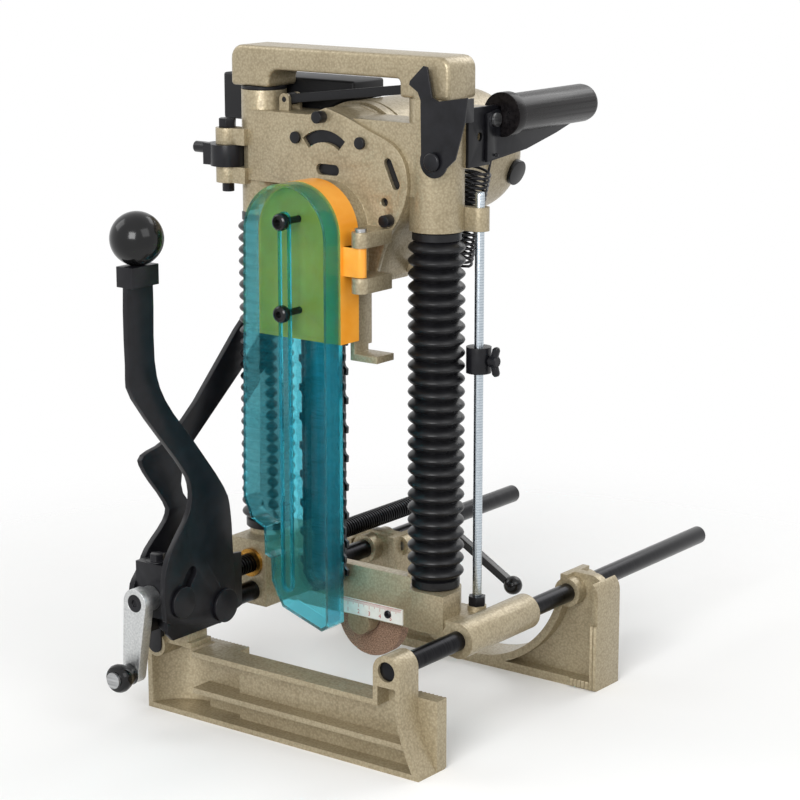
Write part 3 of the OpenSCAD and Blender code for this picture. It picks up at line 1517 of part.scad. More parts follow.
module squeeze_lever() {
    color(black_c) difference() {
        x_plate(squeeze_x, squeeze_x + squeeze_t)
            polygon([for (p = squeeze_shares) [squeeze_y, squeeze_z] + p * squeeze_len]);
        x_cyl(squeeze_y, squeeze_z, squeeze_x - cut, squeeze_x + squeeze_t + cut,
            squeeze_pin_r + fit);
        x_cyl(coil_y0, hook_z, squeeze_x - cut, squeeze_x + squeeze_t + cut,
            coil_wire_r + fit * 4);
    }
}

// Path of the extension spring: a hook through the squeeze lever, the coil, a hook in its post
function coil_point(t) = coil_a + (coil_b - coil_a) * t
    + coil_r * (cos(360 * coil_turns * t) * coil_u + sin(360 * coil_turns * t) * coil_v);

coil_a = [squeeze_x - coil_r - coil_wire_r * 4, coil_y0, hook_z - coil_r];
coil_b = [post_x + coil_r, post_y, post_z + coil_wire_r * 4];
coil_w = (coil_b - coil_a) / norm(coil_b - coil_a);
coil_u = cross(coil_w, [0, 1, 0]) / norm(cross(coil_w, [0, 1, 0]));
coil_v = cross(coil_w, coil_u);
coil_rings = coil_turns * coil_rings_per_turn;
coil_path = concat([[squeeze_x + squeeze_t + coil_wire_r * 2, coil_y0, hook_z],
    [squeeze_x - coil_wire_r, coil_y0, hook_z]],
    [for (i = [0 : coil_rings]) coil_point(i / coil_rings)],
    [[post_x + post_r + coil_wire_r, post_y, post_z],
    [post_x - post_r - coil_wire_r, post_y, post_z]]);

// Least clear distance between turns of a path whose points half a turn apart are let be
function least_gap(path, skip, wire) = min([for (i = [0 : len(path) - 1 - skip])
    for (j = [i + skip : len(path) - 1]) norm(path[i] - path[j]) - wire]);

// Tube of even sides swept along a path, its rings turned from the path's own axis
module tube(path, r, sides, axis) {
    last = len(path) - 1;
    rings = [for (i = [0 : last])
        let (t = path[min(i + 1, last)] - path[max(i - 1, 0)], a = cross(t, axis),
            u = a / norm(a), v = cross(u, t) / norm(t))
        for (k = [0 : sides - 1]) path[i] + r * (cos(360 * k / sides) * u
            + sin(360 * k / sides) * v)];
    faces = [for (i = [0 : last - 1]) for (k = [0 : sides - 1])
        let (a = i * sides + k, b = i * sides + (k + 1) % sides)
        each [[a, b, b + sides], [a, b + sides, a + sides]]];
    ends = [for (k = [1 : sides - 2]) each [[0, k + 1, k],
        [last * sides, last * sides + k, last * sides + k + 1]]];
    polyhedron(rings, concat(faces, ends));
}

echo(least_spring_gap = least_gap(coil_path, coil_rings_per_turn / 2,
    coil_wire_r + coil_wire_r));

module grip_spring() {
    color(steel_c) tube(coil_path, coil_wire_r, coil_sides, coil_w);
}

module lock_plate() {
    flange_x = lock_x + lock_plate_h * lock_flange_share;
    color(black_c) difference() {
        union() {
            y_plate(lock_y0, lock_y0 + lock_t) {
                translate([lock_x, lock_z]) circle(lock_round_r);
                polygon([for (p = lock_plate_shares) [lock_x, lock_z] + p * lock_plate_h]);
            }
            box(flange_x - lock_t, flange_x, lock_y0, lock_y0 + lock_flange_d,
                lock_z + lock_plate_h * lock_flange_low_share,
                lock_z + lock_plate_h * lock_flange_high_share);
        }
        y_cyl(lock_x, lock_z, lock_y0 - cut, lock_y0 + lock_t + cut, lock_screw_r + fit);
    }
}

module lock_plate_screw() {
    color(steel_c) {
        y_cyl(lock_x, lock_z, lock_y0 - gap - weld, lock_y0 + lock_t + lock_screw_l,
            lock_screw_r);
        y_cyl(lock_x, lock_z, lock_y0 - gap - lock_screw_head_t, lock_y0 - gap,
            lock_screw_head_r);
    }
}

module latch_bolt() {
    color(steel_c) {
        z_cyl(latch_x, latch_y, latch_low_z - latch_head_h, latch_top_z + weld, latch_r);
        translate([latch_x, latch_y, latch_top_z]) cylinder(h = latch_head_h,
            r = latch_r * 3 / 2, $fn = 6);
    }
}

module latch_lever() {
    z0 = latch_low_z + latch_lug_h + gap;
    z1 = z0 + latch_hub_h;
    body_x = latch_x - latch_hub_r - latch_arm_l / 2;
    color(black_c) difference() {
        union() {
            z_cyl(latch_x, latch_y, z0, z1, latch_hub_r);
            box(body_x, latch_x, latch_y - latch_hub_r / 2, latch_y + latch_hub_r / 2, z0, z1);
            x_cyl(latch_y, z1 - latch_rod_r, latch_x - latch_rod_l, latch_x, latch_rod_r);
        }
        z_cyl(latch_x, latch_y, z0 - cut, z1 + cut, latch_r + fit);
    }
}

module chain_cover() {
    color(orange_c) difference() {
        union() {
            y_plate(cover_y0, cover_y1) box_outline(cover_r, cover_low);
            z_cyl(hinge_x, hinge_y, barrel_z0, barrel_z1, hinge_r);
            box(cover_x1 - cover_wall, hinge_x, hinge_y - hinge_r, hinge_y + hinge_r,
                barrel_z0, barrel_z1);
        }
        y_plate(cover_y0 + cover_wall, cover_y1 + cut)
            box_outline(cover_r - cover_wall, cover_low - cut);
        z_cyl(hinge_x, hinge_y, barrel_z0 - cut, barrel_z1 + cut, hinge_pin_r + fit + fit);
        for (z = [knob_low_z, knob_high_z]) y_cyl(sprocket_x, z, cover_y0 - cut,
            cover_y0 + cover_wall + cut, cover_stud_r + fit);
    }
}

module cover_knobs() {
    y0 = guard_y0 - gap;
    color(black_c) for (z = [knob_low_z, knob_high_z]) {
        y_cyl(sprocket_x, z, y0 - cover_knob_t, y0, cover_knob_r);
        y_cyl(sprocket_x, z, y0 - weld, cover_y0 + cover_wall + weld, cover_stud_r);
        y_cyl(sprocket_x, z, cover_y0 + cover_wall, cover_y0 + cover_wall + cover_nut_t,
            cover_nut_r);
    }
}

// Outline of the guard: round top, straight sides and a stepped lower edge
module guard_outline(r) {
    polygon(concat(arc([sprocket_x, sprocket_z], r, 0, 180, guard_steps * 2),
        [for (p = guard_shares) [sprocket_x + p[0] * r,
            guard_z + p[1] * (sprocket_z - guard_z)]]));
}

module chain_guard() {
    color(teal_c, 0.6) difference() {
        y_plate(guard_y0, guard_y1) guard_outline(guard_r);
        y_plate(guard_y0 + guard_wall, guard_y1 + cut) intersection() {
            translate([-guard_wall, 0]) guard_outline(guard_r);
            guard_outline(guard_r - guard_wall);
        }
        y_plate(guard_y0 - cut, guard_y1 + cut) translate([sprocket_x - slot_w / 2, slot_low])
            square([slot_w, slot_top - slot_low]);
    }
}

front_jaw();
right_guide_rod();
lever_bracket();
thrust_block();
bracket_bolt();
clamp_pin();
shoulder_pins();
clamp_lever();
clamp_lever_ball();
release_lever();
clamp_rod();
rear_jaw();
rear_lock_pin();
rear_lock_lever();
crank_arm();
crank_screw();
knob_pin();
crank_knob();
lead_screw();
carriage();
feed_nut();
right_column();
left_column();
ruler();
depth_rod();
depth_rod_nut();
depth_collar();
wing_bolt();
grindstone();
stone_spindle();
right_bellows();
left_bellows();
column_springs();
head_casting();
gear_plate();
plate_screws();
sprocket();
guide_bar();
bar_bolt();
saw_chain();
motor_housing();
stator();
armature();
brush_caps();
top_handle();
switch_housing();
switch_lever();
side_grip();
grip_bracket();
squeeze_pin();
squeeze_lever();
grip_spring();
lock_plate();
lock_plate_screw();
latch_bolt();
latch_lever();
chain_cover();
hinge_pin();
cover_knobs();
chain_guard();
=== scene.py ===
# %% [markdown]
# A chain mortiser cuts deep square pockets in timber with a toothed chain. This lesson dresses
# its ready made mechanical frame: every part already has its place and size, and the work here
# is finish, soft edges, and the small shapes that the eye looks for. Lengths are written in
# millimetres, and the places of the two columns serve several cells.
# %% Load the frame
import json
import math

import bpy
from mathutils import Matrix, Vector

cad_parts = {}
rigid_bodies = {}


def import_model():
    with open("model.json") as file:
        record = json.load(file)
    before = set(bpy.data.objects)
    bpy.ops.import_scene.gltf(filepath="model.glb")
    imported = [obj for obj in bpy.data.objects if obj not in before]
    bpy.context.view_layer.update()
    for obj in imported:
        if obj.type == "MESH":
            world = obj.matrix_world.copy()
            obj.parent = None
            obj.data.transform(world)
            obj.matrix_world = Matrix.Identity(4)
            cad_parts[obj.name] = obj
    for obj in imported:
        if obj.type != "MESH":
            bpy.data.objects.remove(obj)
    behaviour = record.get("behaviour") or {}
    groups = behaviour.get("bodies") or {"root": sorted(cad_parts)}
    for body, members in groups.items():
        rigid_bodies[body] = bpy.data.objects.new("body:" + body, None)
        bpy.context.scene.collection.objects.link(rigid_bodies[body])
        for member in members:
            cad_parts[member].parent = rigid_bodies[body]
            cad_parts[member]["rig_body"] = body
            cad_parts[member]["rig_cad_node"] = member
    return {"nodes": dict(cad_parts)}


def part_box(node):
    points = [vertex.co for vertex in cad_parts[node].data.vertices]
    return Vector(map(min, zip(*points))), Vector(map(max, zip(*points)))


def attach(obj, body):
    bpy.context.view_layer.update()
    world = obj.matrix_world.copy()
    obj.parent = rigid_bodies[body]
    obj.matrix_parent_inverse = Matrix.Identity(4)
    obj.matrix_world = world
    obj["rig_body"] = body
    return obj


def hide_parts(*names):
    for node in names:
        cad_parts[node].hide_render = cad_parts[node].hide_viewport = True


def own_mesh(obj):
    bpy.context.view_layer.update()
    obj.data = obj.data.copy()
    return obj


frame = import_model()
nodes = frame["nodes"]
bpy.ops.object.select_all(action="DESELECT")
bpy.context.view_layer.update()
MM = 0.001
RIGHT_X, LEFT_X, COLUMN_Y = 54, -105, 101

# %% [markdown]
# Colours are written as hex numbers, the way a paint chart or a colour picker gives them.
# Blender mixes light in linear values, so each channel goes through the sRGB curve once.
# One more helper adds a shader node, sets its values and joins its links, so that every
# material below reads as a short recipe.
# %% Colour and node helpers
def linear(code):
    """sRGB hex such as 'b5a98f' to a linear RGBA tuple."""
    channels = [int(code[i : i + 2], 16) / 255 for i in (0, 2, 4)]
    curve = [c / 12.92 if c <= 0.04045 else ((c + 0.055) / 1.055) ** 2.4 for c in channels]
    return (*curve, 1.0)


def add(tree, kind, settings=None, inputs=None):
    """Add a node, set its properties, and give each input a value or a link."""
    node = tree.nodes.new(kind)
    for name, value in (settings or {}).items():
        setattr(node, name, value)
    for name, value in (inputs or {}).items():
        if isinstance(value, bpy.types.NodeSocket):
            tree.links.new(value, node.inputs[name])
        else:
            node.inputs[name].default_value = value
    return node


def blank(name, **shader_values):
    """A material with one Principled shader, whose even values sit on its own sockets."""
    material = bpy.data.materials.new(name)
    material.use_nodes = True
    tree = material.node_tree
    shader = tree.nodes["Principled BSDF"]
    for socket, value in shader_values.items():
        shader.inputs[socket.replace("_", " ")].default_value = value
    place = add(tree, "ShaderNodeTexCoord").outputs["Object"]
    return material, tree, shader, place


def two_tones(tree, factor, low, high, low_at=0.3, high_at=0.7):
    """A ramp between two hex colours."""
    ramp = add(tree, "ShaderNodeValToRGB", inputs={"Fac": factor})
    ramp.color_ramp.elements[0].position = low_at
    ramp.color_ramp.elements[0].color = linear(low)
    ramp.color_ramp.elements[1].position = high_at
    ramp.color_ramp.elements[1].color = linear(high)
    return ramp.outputs["Color"]


def bump(tree, shader, height, depth, strength=1.0):
    """Raise the surface by a pattern, with its real depth in metres."""
    node = add(tree, "ShaderNodeBump", inputs={"Height": height, "Distance": depth,
                                                "Strength": strength})
    tree.links.new(node.outputs["Normal"], shader.inputs["Normal"])


def rough(tree, shader, factor, low, high):
    """Spread the roughness between two values by a pattern."""
    span = add(tree, "ShaderNodeMapRange",
               inputs={"Value": factor, "To Min": low, "To Max": high})
    tree.links.new(span.outputs["Result"], shader.inputs["Roughness"])


def noise(tree, place, size_mm, detail=3.0):
    """Cloudy pattern whose blotches are about size_mm wide."""
    cloud = add(tree, "ShaderNodeTexNoise",
                inputs={"Vector": place, "Scale": 1 / (size_mm * MM), "Detail": detail})
    return cloud.outputs["Fac"]


# %% [markdown]
# The castings are aluminium under champagne hammered enamel: the sprayed paint pulls into
# shallow dimples a millimetre or two wide, and its metal flake catches the light. A cell
# pattern gives the dimples, and a slow cloud keeps large faces from looking flat.
# %% Champagne hammered enamel
HAMMER_MM = 1.7
BEND_MM = 1.2
SLOW_MM = 28
hammered, tree, shader, place = blank("hammered champagne enamel", Metallic=0.5, Coat_Weight=0.25,
                                      Coat_Roughness=0.18)
wobble = add(tree, "ShaderNodeTexNoise", inputs={"Vector": place, "Scale": 1 / (2.5 * MM)})
bent = add(tree, "ShaderNodeVectorMath", {"operation": "MULTIPLY_ADD"},
           {0: wobble.outputs["Color"], 1: (BEND_MM * MM,) * 3, 2: place})
cells = add(tree, "ShaderNodeTexVoronoi", {"feature": "SMOOTH_F1"},
            {"Vector": bent.outputs[0], "Scale": 1 / (HAMMER_MM * MM), "Smoothness": 0.7})
cloud = noise(tree, place, SLOW_MM)
tone = two_tones(tree, cloud, "9a8c70", "a5987c", 0.35, 0.65)
fleck = two_tones(tree, cells.outputs["Distance"], "b9ad92", "786d54", 0.15, 0.75)
mixed = add(tree, "ShaderNodeMix", {"data_type": "RGBA"}, {"Factor": 0.4})
tree.links.new(tone, mixed.inputs[6])
tree.links.new(fleck, mixed.inputs[7])
tree.links.new(mixed.outputs[2], shader.inputs["Base Color"])
rough(tree, shader, cells.outputs["Distance"], 0.36, 0.52)
bump(tree, shader, cells.outputs["Distance"], 0.16 * MM, 0.6)

# %% [markdown]
# The levers, the bracket and small fittings are steel plate with black satin paint. Dust and
# handling make its gloss uneven, which shows more than any colour change.
# %% Black satin paint
satin, tree, shader, place = blank("black satin paint", Specular_IOR_Level=0.22,
                                   Coat_Weight=0.06, Coat_Roughness=0.2)
cloud = noise(tree, place, 9, 5.0)
tree.links.new(two_tones(tree, cloud, "101013", "1a1a1e"), shader.inputs["Base Color"])
rough(tree, shader, cloud, 0.26, 0.4)
bump(tree, shader, noise(tree, place, 1.0), 0.03 * MM, 0.4)


# %% [markdown]
# Rods, columns and pins are turned or ground metal. Grinding leaves fine rings round the work,
# so the noise is squeezed along one direction and only changes the gloss and a hair of height.
# The clamp's rods and the lead screw are black oxide: the same marks on a nearly black metal.
# %% Ground steel, black oxide, bronze and cast aluminium
def metal(name, dark, light, low, high, stretch=(1, 1, 1), grain_mm=1.5, depth_mm=0.01):
    """A bare metal: colour, gloss range and the direction of its machining marks."""
    material, tree, shader, place = blank(name, Metallic=1.0)
    turned = add(tree, "ShaderNodeMapping", inputs={"Vector": place, "Scale": stretch})
    streak = noise(tree, turned.outputs["Vector"], grain_mm, 4.0)
    tree.links.new(two_tones(tree, streak, dark, light), shader.inputs["Base Color"])
    rough(tree, shader, streak, low, high)
    bump(tree, shader, streak, depth_mm * MM, 0.5)
    return material


ground = metal("ground steel", "9c9d9e", "c9cacb", 0.16, 0.34, (0.06, 1, 0.06), 1.2)
turned_up = metal("turned steel", "8f9091", "bdbebf", 0.25, 0.42, (0.1, 0.1, 1), 1.2)
oxide = metal("black oxide steel", "1d1d1f", "2b2b2d", 0.24, 0.36, (0.06, 1, 0.06), 1.2)
black_spring = metal("black spring steel", "242426", "38383a", 0.25, 0.4)
bronze = metal("turned bronze", "8a6226", "b98c45", 0.25, 0.4, (1, 0.1, 1), 1.5)
cast = metal("cast aluminium", "b4b6b7", "d3d4d3", 0.34, 0.5, (1, 1, 1), 1.6, 0.05)
chain_steel = metal("oiled chain steel", "2a2c2e", "56595b", 0.28, 0.45, (1, 1, 1), 2.0)

# %% [markdown]
# The depth rod is bright zinc plate with graduations. The real lines are a millimetre apart,
# too fine to show, so they are drawn every two, down the right side. The height, folded back
# and forth, places them.
# %% Bright zinc plate with graduations
LINE_GAP_MM, LINE_HALF_MM, LINES_FROM_X = 2.0, 0.22, 81
zinc, tree, shader, place = blank("bright zinc plate", Metallic=1.0)
axes = add(tree, "ShaderNodeSeparateXYZ", inputs={"Vector": place})
wrap = add(tree, "ShaderNodeMath", {"operation": "PINGPONG"},
           {0: axes.outputs["Z"], 1: LINE_GAP_MM / 2 * MM})
line = add(tree, "ShaderNodeMath", {"operation": "LESS_THAN"},
           {0: wrap.outputs[0], 1: LINE_HALF_MM * MM})
side = add(tree, "ShaderNodeMath", {"operation": "GREATER_THAN"},
           {0: axes.outputs["X"], 1: LINES_FROM_X * MM})
line = add(tree, "ShaderNodeMath", {"operation": "MULTIPLY"},
           {0: line.outputs[0], 1: side.outputs[0]})
streak = noise(tree, place, 2.0, 4.0)
plain = two_tones(tree, streak, "b4bec6", "c6ced4")
mixed = add(tree, "ShaderNodeMix", {"data_type": "RGBA"}, {"Factor": line.outputs[0]})
tree.links.new(plain, mixed.inputs[6])
mixed.inputs[7].default_value = linear("9da7b0")
tree.links.new(mixed.outputs[2], shader.inputs["Base Color"])
rough(tree, shader, streak, 0.2, 0.36)

# %% [markdown]
# The bellows are moulded rubber with a soft shine, the knobs are polished phenolic plastic, the
# grip is vinyl with drawn streaks, and the switch box is grained plastic. All are nearly black:
# gloss tells them apart.
# %% Rubber, polished plastic, vinyl and grained plastic
rubber, tree, shader, place = blank("moulded black rubber", Specular_IOR_Level=0.3)
cloud = noise(tree, place, 6, 5.0)
tree.links.new(two_tones(tree, cloud, "0b0b0d", "141417"), shader.inputs["Base Color"])
rough(tree, shader, cloud, 0.3, 0.42)
bump(tree, shader, noise(tree, place, 0.8), 0.02 * MM, 0.4)

polished, tree, shader, place = blank("polished black phenolic", Specular_IOR_Level=0.25,
                                      Coat_Weight=0.15, Coat_Roughness=0.08)
cloud = noise(tree, place, 20, 4.0)
tree.links.new(two_tones(tree, cloud, "0b0b0c", "131314"), shader.inputs["Base Color"])
rough(tree, shader, cloud, 0.12, 0.24)

vinyl, tree, shader, place = blank("moulded black vinyl", Specular_IOR_Level=0.14)
drawn = add(tree, "ShaderNodeMapping", inputs={"Vector": place, "Scale": (1, 0.08, 1)})
streak = noise(tree, drawn.outputs["Vector"], 3, 5.0)
tree.links.new(two_tones(tree, streak, "0c0b0c", "1c191a"), shader.inputs["Base Color"])
rough(tree, shader, streak, 0.2, 0.36)

grained, tree, shader, place = blank("grained black plastic", Specular_IOR_Level=0.25)
cloud = noise(tree, place, 0.9, 2.0)
tree.links.new(two_tones(tree, cloud, "101113", "19191c"), shader.inputs["Base Color"])
rough(tree, shader, cloud, 0.4, 0.55)
bump(tree, shader, cloud, 0.04 * MM, 0.5)

# %% [markdown]
# The chain cover is pressed steel in amber enamel. The guard in front of it is clear blue
# plastic: light passes through and comes out tinted, so what is amber behind it turns green.
# %% Amber enamel and clear blue plastic
amber, tree, shader, place = blank("amber enamel", Coat_Weight=0.3, Coat_Roughness=0.12)
cloud = noise(tree, place, 14, 4.0)
tree.links.new(two_tones(tree, cloud, "ef9a24", "f6a93a"), shader.inputs["Base Color"])
rough(tree, shader, cloud, 0.28, 0.4)

clear_blue, tree, shader, place = blank("clear blue plastic", Transmission_Weight=0.965, IOR=1.25,
                                        Alpha=0.78)
cloud = noise(tree, place, 30, 3.0)
tree.links.new(two_tones(tree, cloud, "38c6dc", "4ad2e4"), shader.inputs["Base Color"])
rough(tree, shader, cloud, 0.03, 0.08)

# %% [markdown]
# The whetting wheel is bonded brown grit with a woven net moulded in, and the ruler on the beam
# is white enamelled steel with red marks.
# %% Bonded grit, white enamel and red ink
grit, tree, shader, place = blank("bonded brown grit")
cloud = noise(tree, place, 0.9, 6.0)
tree.links.new(two_tones(tree, cloud, "5c4232", "a98a74", 0.35, 0.65), shader.inputs["Base Color"])
rough(tree, shader, cloud, 0.7, 0.95)
bump(tree, shader, cloud, 0.3 * MM, 0.8)

enamel, tree, shader, place = blank("white enamel", Coat_Weight=0.3, Coat_Roughness=0.1)
cloud = noise(tree, place, 6, 3.0)
tree.links.new(two_tones(tree, cloud, "dedcd4", "ecebe5"), shader.inputs["Base Color"])
rough(tree, shader, cloud, 0.25, 0.35)

ink, tree, shader, place = blank("red ink")
cloud = noise(tree, place, 3, 3.0)
tree.links.new(two_tones(tree, cloud, "a8322c", "bb3d35"), shader.inputs["Base Color"])
rough(tree, shader, cloud, 0.35, 0.5)

# %% [markdown]
# Each ready made part takes the finish of the real one. The list runs by finish, as a paint
# shop would sort the parts.
# %% Give every node its finish
FINISHES = {
    hammered: ["front_jaw", "rear_jaw", "carriage", "head_casting", "gear_plate",
               "motor_housing", "top_handle"],
    satin: ["lever_bracket", "clamp_lever", "release_lever", "grip_bracket", "lock_plate",
            "latch_lever", "depth_collar", "crank_screw", "squeeze_lever", "bracket_bolt",
            "clamp_pin", "shoulder_pins", "plate_screws", "latch_bolt", "lock_plate_screw",
            "wing_bolt", "depth_rod_nut"],
    ground: ["thrust_block", "sprocket"],
    oxide: ["right_guide_rod", "clamp_rod", "lead_screw"],
    turned_up: ["rear_lock_pin", "knob_pin", "right_column", "left_column", "stone_spindle",
                "column_springs", "guide_bar", "bar_bolt", "stator", "armature", "squeeze_pin",
                "hinge_pin"],
    black_spring: ["grip_spring"],
    zinc: ["depth_rod"],
    bronze: ["feed_nut"],
    cast: ["crank_arm"],
    chain_steel: ["saw_chain"],
    rubber: ["right_bellows", "left_bellows"],
    polished: ["clamp_lever_ball", "rear_lock_lever", "crank_knob", "cover_knobs", "brush_caps"],
    vinyl: ["side_grip"],
    grained: ["switch_housing", "switch_lever"],
    amber: ["chain_cover"],
    clear_blue: ["chain_guard"],
    grit: ["grindstone"],
    enamel: ["ruler"],
}
finish_of = {}
for finish, names in FINISHES.items():
    for name in names:
        slots = nodes[name].data.materials
        slots.clear()
        slots.append(finish)
        finish_of[name] = finish
print("finishes:", len(FINISHES), "nodes with a finish:", len(finish_of), "of", len(nodes))

# %% [markdown]
# A cast, pressed or moulded part has no knife edges: light runs along its rounded corners, and
# that thin line is most of what makes a part look real. A copy of each such node is joined up,
# cleaned of its triangle edges and given a bevel of the radius that its making would leave.
# %% Round the edges of cast and pressed parts
SHARP_DEG = 32


def pick(piece):
    """Leave only this piece selected and active."""
    bpy.ops.object.select_all(action="DESELECT")
    piece.select_set(True)
    bpy.context.view_layer.objects.active = piece


def bevel(piece, radius_mm, segments=3, sharp_deg=SHARP_DEG):
    """Round the sharp edges and shade the result smoothly."""
    pick(piece)
    edge = piece.modifiers.new("edge", "BEVEL")
    edge.width = radius_mm * MM
    edge.segments = segments
    edge.limit_method = "ANGLE"
    edge.angle_limit = math.radians(sharp_deg)
    bpy.ops.object.modifier_apply(modifier="edge")
    bpy.ops.object.shade_smooth_by_angle(angle=math.radians(SHARP_DEG))


def hand_over(piece, name, body, finish, *hidden, slot=None):
    """Name a finished piece, paint it, and let it ride on its body in place of CAD nodes."""
    piece.name = name
    piece.data.name = name
    piece.data.materials.clear()
    piece.data.materials.append(finish)
    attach(piece, body)
    if hidden:
        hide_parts(*hidden)
    return piece


def plain_copy(name):
    """Copy a node and join its triangles into faces."""
    source = nodes[name]
    piece = source.copy()
    piece.data = source.data.copy()
    bpy.context.scene.collection.objects.link(piece)
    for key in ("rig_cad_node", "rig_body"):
        if key in piece:
            del piece[key]
    piece.parent = None
    pick(piece)
    bpy.ops.object.mode_set(mode="EDIT")
    bpy.ops.mesh.select_all(action="SELECT")
    bpy.ops.mesh.remove_doubles(threshold=0.01 * MM)
    bpy.ops.mesh.dissolve_limited(angle_limit=math.radians(1))
    bpy.ops.object.mode_set(mode="OBJECT")
    return piece


def soften(name, radius_mm):
    """Copy a node, round its sharp edges and let the copy take its place."""
    piece = plain_copy(name)
    bevel(piece, radius_mm)
    return hand_over(piece, name + "_finished", nodes[name]["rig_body"], finish_of[name], name)


ROUNDED_MM = {"front_jaw": 1.2, "carriage": 1.2, "head_casting": 1.5,
              "gear_plate": 0.8, "lever_bracket": 0.8, "clamp_lever": 0.8, "release_lever": 0.8,
              "crank_arm": 1.5, "switch_housing": 2.0, "switch_lever": 1.0, "side_grip": 1.2,
              "chain_cover": 1.2, "lock_plate": 0.3, "grip_bracket": 0.4, "squeeze_lever": 0.4,
              "latch_lever": 0.8, "depth_collar": 0.8, "thrust_block": 0.6,
              "latch_bolt": 0.4, "bracket_bolt": 0.4, "clamp_pin": 0.4, "shoulder_pins": 0.4,
              "plate_screws": 0.4, "brush_caps": 0.6, "rear_lock_lever": 0.5,
              "depth_rod_nut": 0.4, "lock_plate_screw": 1.3, "crank_screw": 0.3,
              "stone_spindle": 0.4, "right_guide_rod": 0.8, "clamp_rod": 0.8, "depth_rod": 1.8}
rounded = [soften(name, radius) for name, radius in ROUNDED_MM.items()]
print("rounded parts:", len(rounded), "faces:", sum(len(p.data.polygons) for p in rounded))

# %% [markdown]
# New shapes start as a ring of points. Spun round an axis, the ring becomes a turned part;
# pushed along a direction it becomes a plate; and as a path it carries a round wire.
# %% Ways to make a new piece
def start(points, fill="NOTHING"):
    """A ring of joined points at their places in mm."""
    bpy.ops.object.select_all(action="DESELECT")
    bpy.ops.mesh.primitive_circle_add(vertices=len(points), fill_type=fill)
    piece = bpy.context.object
    for vertex, point in zip(piece.data.vertices, points):
        vertex.co = Vector(point) * MM
    return piece


def in_edit(*steps):
    """Run mesh steps in edit mode with everything selected."""
    bpy.ops.object.mode_set(mode="EDIT")
    bpy.ops.mesh.select_all(action="SELECT")
    for step in steps:
        step()
    bpy.ops.object.mode_set(mode="OBJECT")


def tidy():
    """Join doubled points and drop loose ones."""
    bpy.ops.mesh.select_all(action="SELECT")
    bpy.ops.mesh.remove_doubles(threshold=0.002 * MM)
    bpy.ops.mesh.delete_loose(use_verts=True, use_edges=True, use_faces=False)


def lathe(profile, centre, axis, steps=48):
    """Spin a closed outline of (radius, distance along) in mm round an axis."""
    line = Vector(axis)
    side = Vector((axis[1], axis[2], axis[0]))
    piece = start([Vector(centre) + side * r + line * a for r, a in profile])
    in_edit(lambda: bpy.ops.mesh.spin(steps=steps, angle=math.tau, center=Vector(centre) * MM,
                                      axis=line), tidy)
    bpy.ops.object.shade_smooth_by_angle(angle=math.radians(SHARP_DEG))
    return piece


def prism(points, push):
    """A plate: a filled outline pushed along a vector in mm."""
    piece = start(points, "NGON")
    in_edit(lambda: bpy.ops.mesh.extrude_region_move(
        TRANSFORM_OT_translate={"value": Vector(push) * MM}), tidy)
    return piece


def select_parts(piece, edge_test=None, face_test=None):
    """Leave only the edges or faces selected that pass a test, and go into edit mode."""
    mesh = piece.data
    for group in (mesh.vertices, mesh.edges, mesh.polygons):
        for part in group:
            part.select = False
    bpy.context.tool_settings.mesh_select_mode = (False, edge_test is not None,
                                                  face_test is not None)
    for part in mesh.edges if edge_test else mesh.polygons:
        part.select = bool((edge_test or face_test)(part))
    bpy.ops.object.mode_set(mode="EDIT")


def open_path(points):
    """Points joined in a row, with nothing between the last and the first."""
    piece = start(points)
    ends = {0, len(points) - 1}
    select_parts(piece, edge_test=lambda e: set(e.vertices) == ends)
    bpy.ops.mesh.delete(type="EDGE")
    bpy.ops.object.mode_set(mode="OBJECT")
    bpy.context.tool_settings.mesh_select_mode = (True, False, False)
    return piece


def wire(points, radius_mm, sides=3):
    """A round wire along a path of points in mm."""
    open_path(points)
    bpy.ops.object.convert(target="CURVE")
    piece = bpy.context.object
    piece.data.dimensions = "3D"
    piece.data.bevel_depth = radius_mm * MM
    piece.data.bevel_resolution = sides
    piece.data.use_fill_caps = True
    bpy.ops.object.convert(target="MESH")
    in_edit(tidy)
    bpy.ops.object.shade_smooth()
    return bpy.context.object


def shell(points, front_y, rear_y, wall_mm, edge_mm, segments, low_z=None):
    """A thin moulding in the front view. The faces of these prisms point inwards, so the one
    facing +Y that is taken out is the front one: the plate is left at the rear, and the wall
    grows outwards and backwards from the outline."""
    piece = prism([(x, front_y, z) for x, z in points], (0, rear_y - front_y, 0))
    select_parts(piece, face_test=lambda f: f.normal.y > 0.9
                 or (low_z and f.normal.z < -0.9 and f.center.z < (low_z + 1) * MM))
    bpy.ops.mesh.delete(type="FACE")
    bpy.ops.object.mode_set(mode="OBJECT")
    bpy.context.tool_settings.mesh_select_mode = (True, False, False)
    mesh = piece.data
    weight = mesh.attributes.new("bevel_weight_edge", "FLOAT", "EDGE")
    for e in mesh.edges:
        at_front = all(abs(mesh.vertices[v].co.y - front_y * MM) < 0.1 * MM for v in e.vertices)
        weight.data[e.index].value = 1.0 if at_front else 0.0
    for kind, values in (("BEVEL", {"width": edge_mm * MM, "segments": segments,
                                    "limit_method": "WEIGHT", "use_clamp_overlap": False}),
                         ("SOLIDIFY", {"thickness": wall_mm * MM, "offset": -1,
                                       "use_even_offset": True})):
        modifier = piece.modifiers.new(kind, kind)
        for key, value in values.items():
            setattr(modifier, key, value)
        bpy.ops.object.modifier_apply(modifier=kind)
    return piece


def combine(piece, other, operation):
    """Unite two solids, or cut one from the other, and drop the second. A cutter whose faces
    point inwards would cut nothing, so they are turned outwards first."""
    pick(other)
    in_edit(lambda: bpy.ops.mesh.normals_make_consistent(inside=False))
    pick(piece)
    modifier = piece.modifiers.new("combine", "BOOLEAN")
    modifier.object = other
    modifier.operation = operation
    modifier.solver = "EXACT"
    bpy.ops.object.modifier_apply(modifier="combine")
    bpy.data.objects.remove(other)


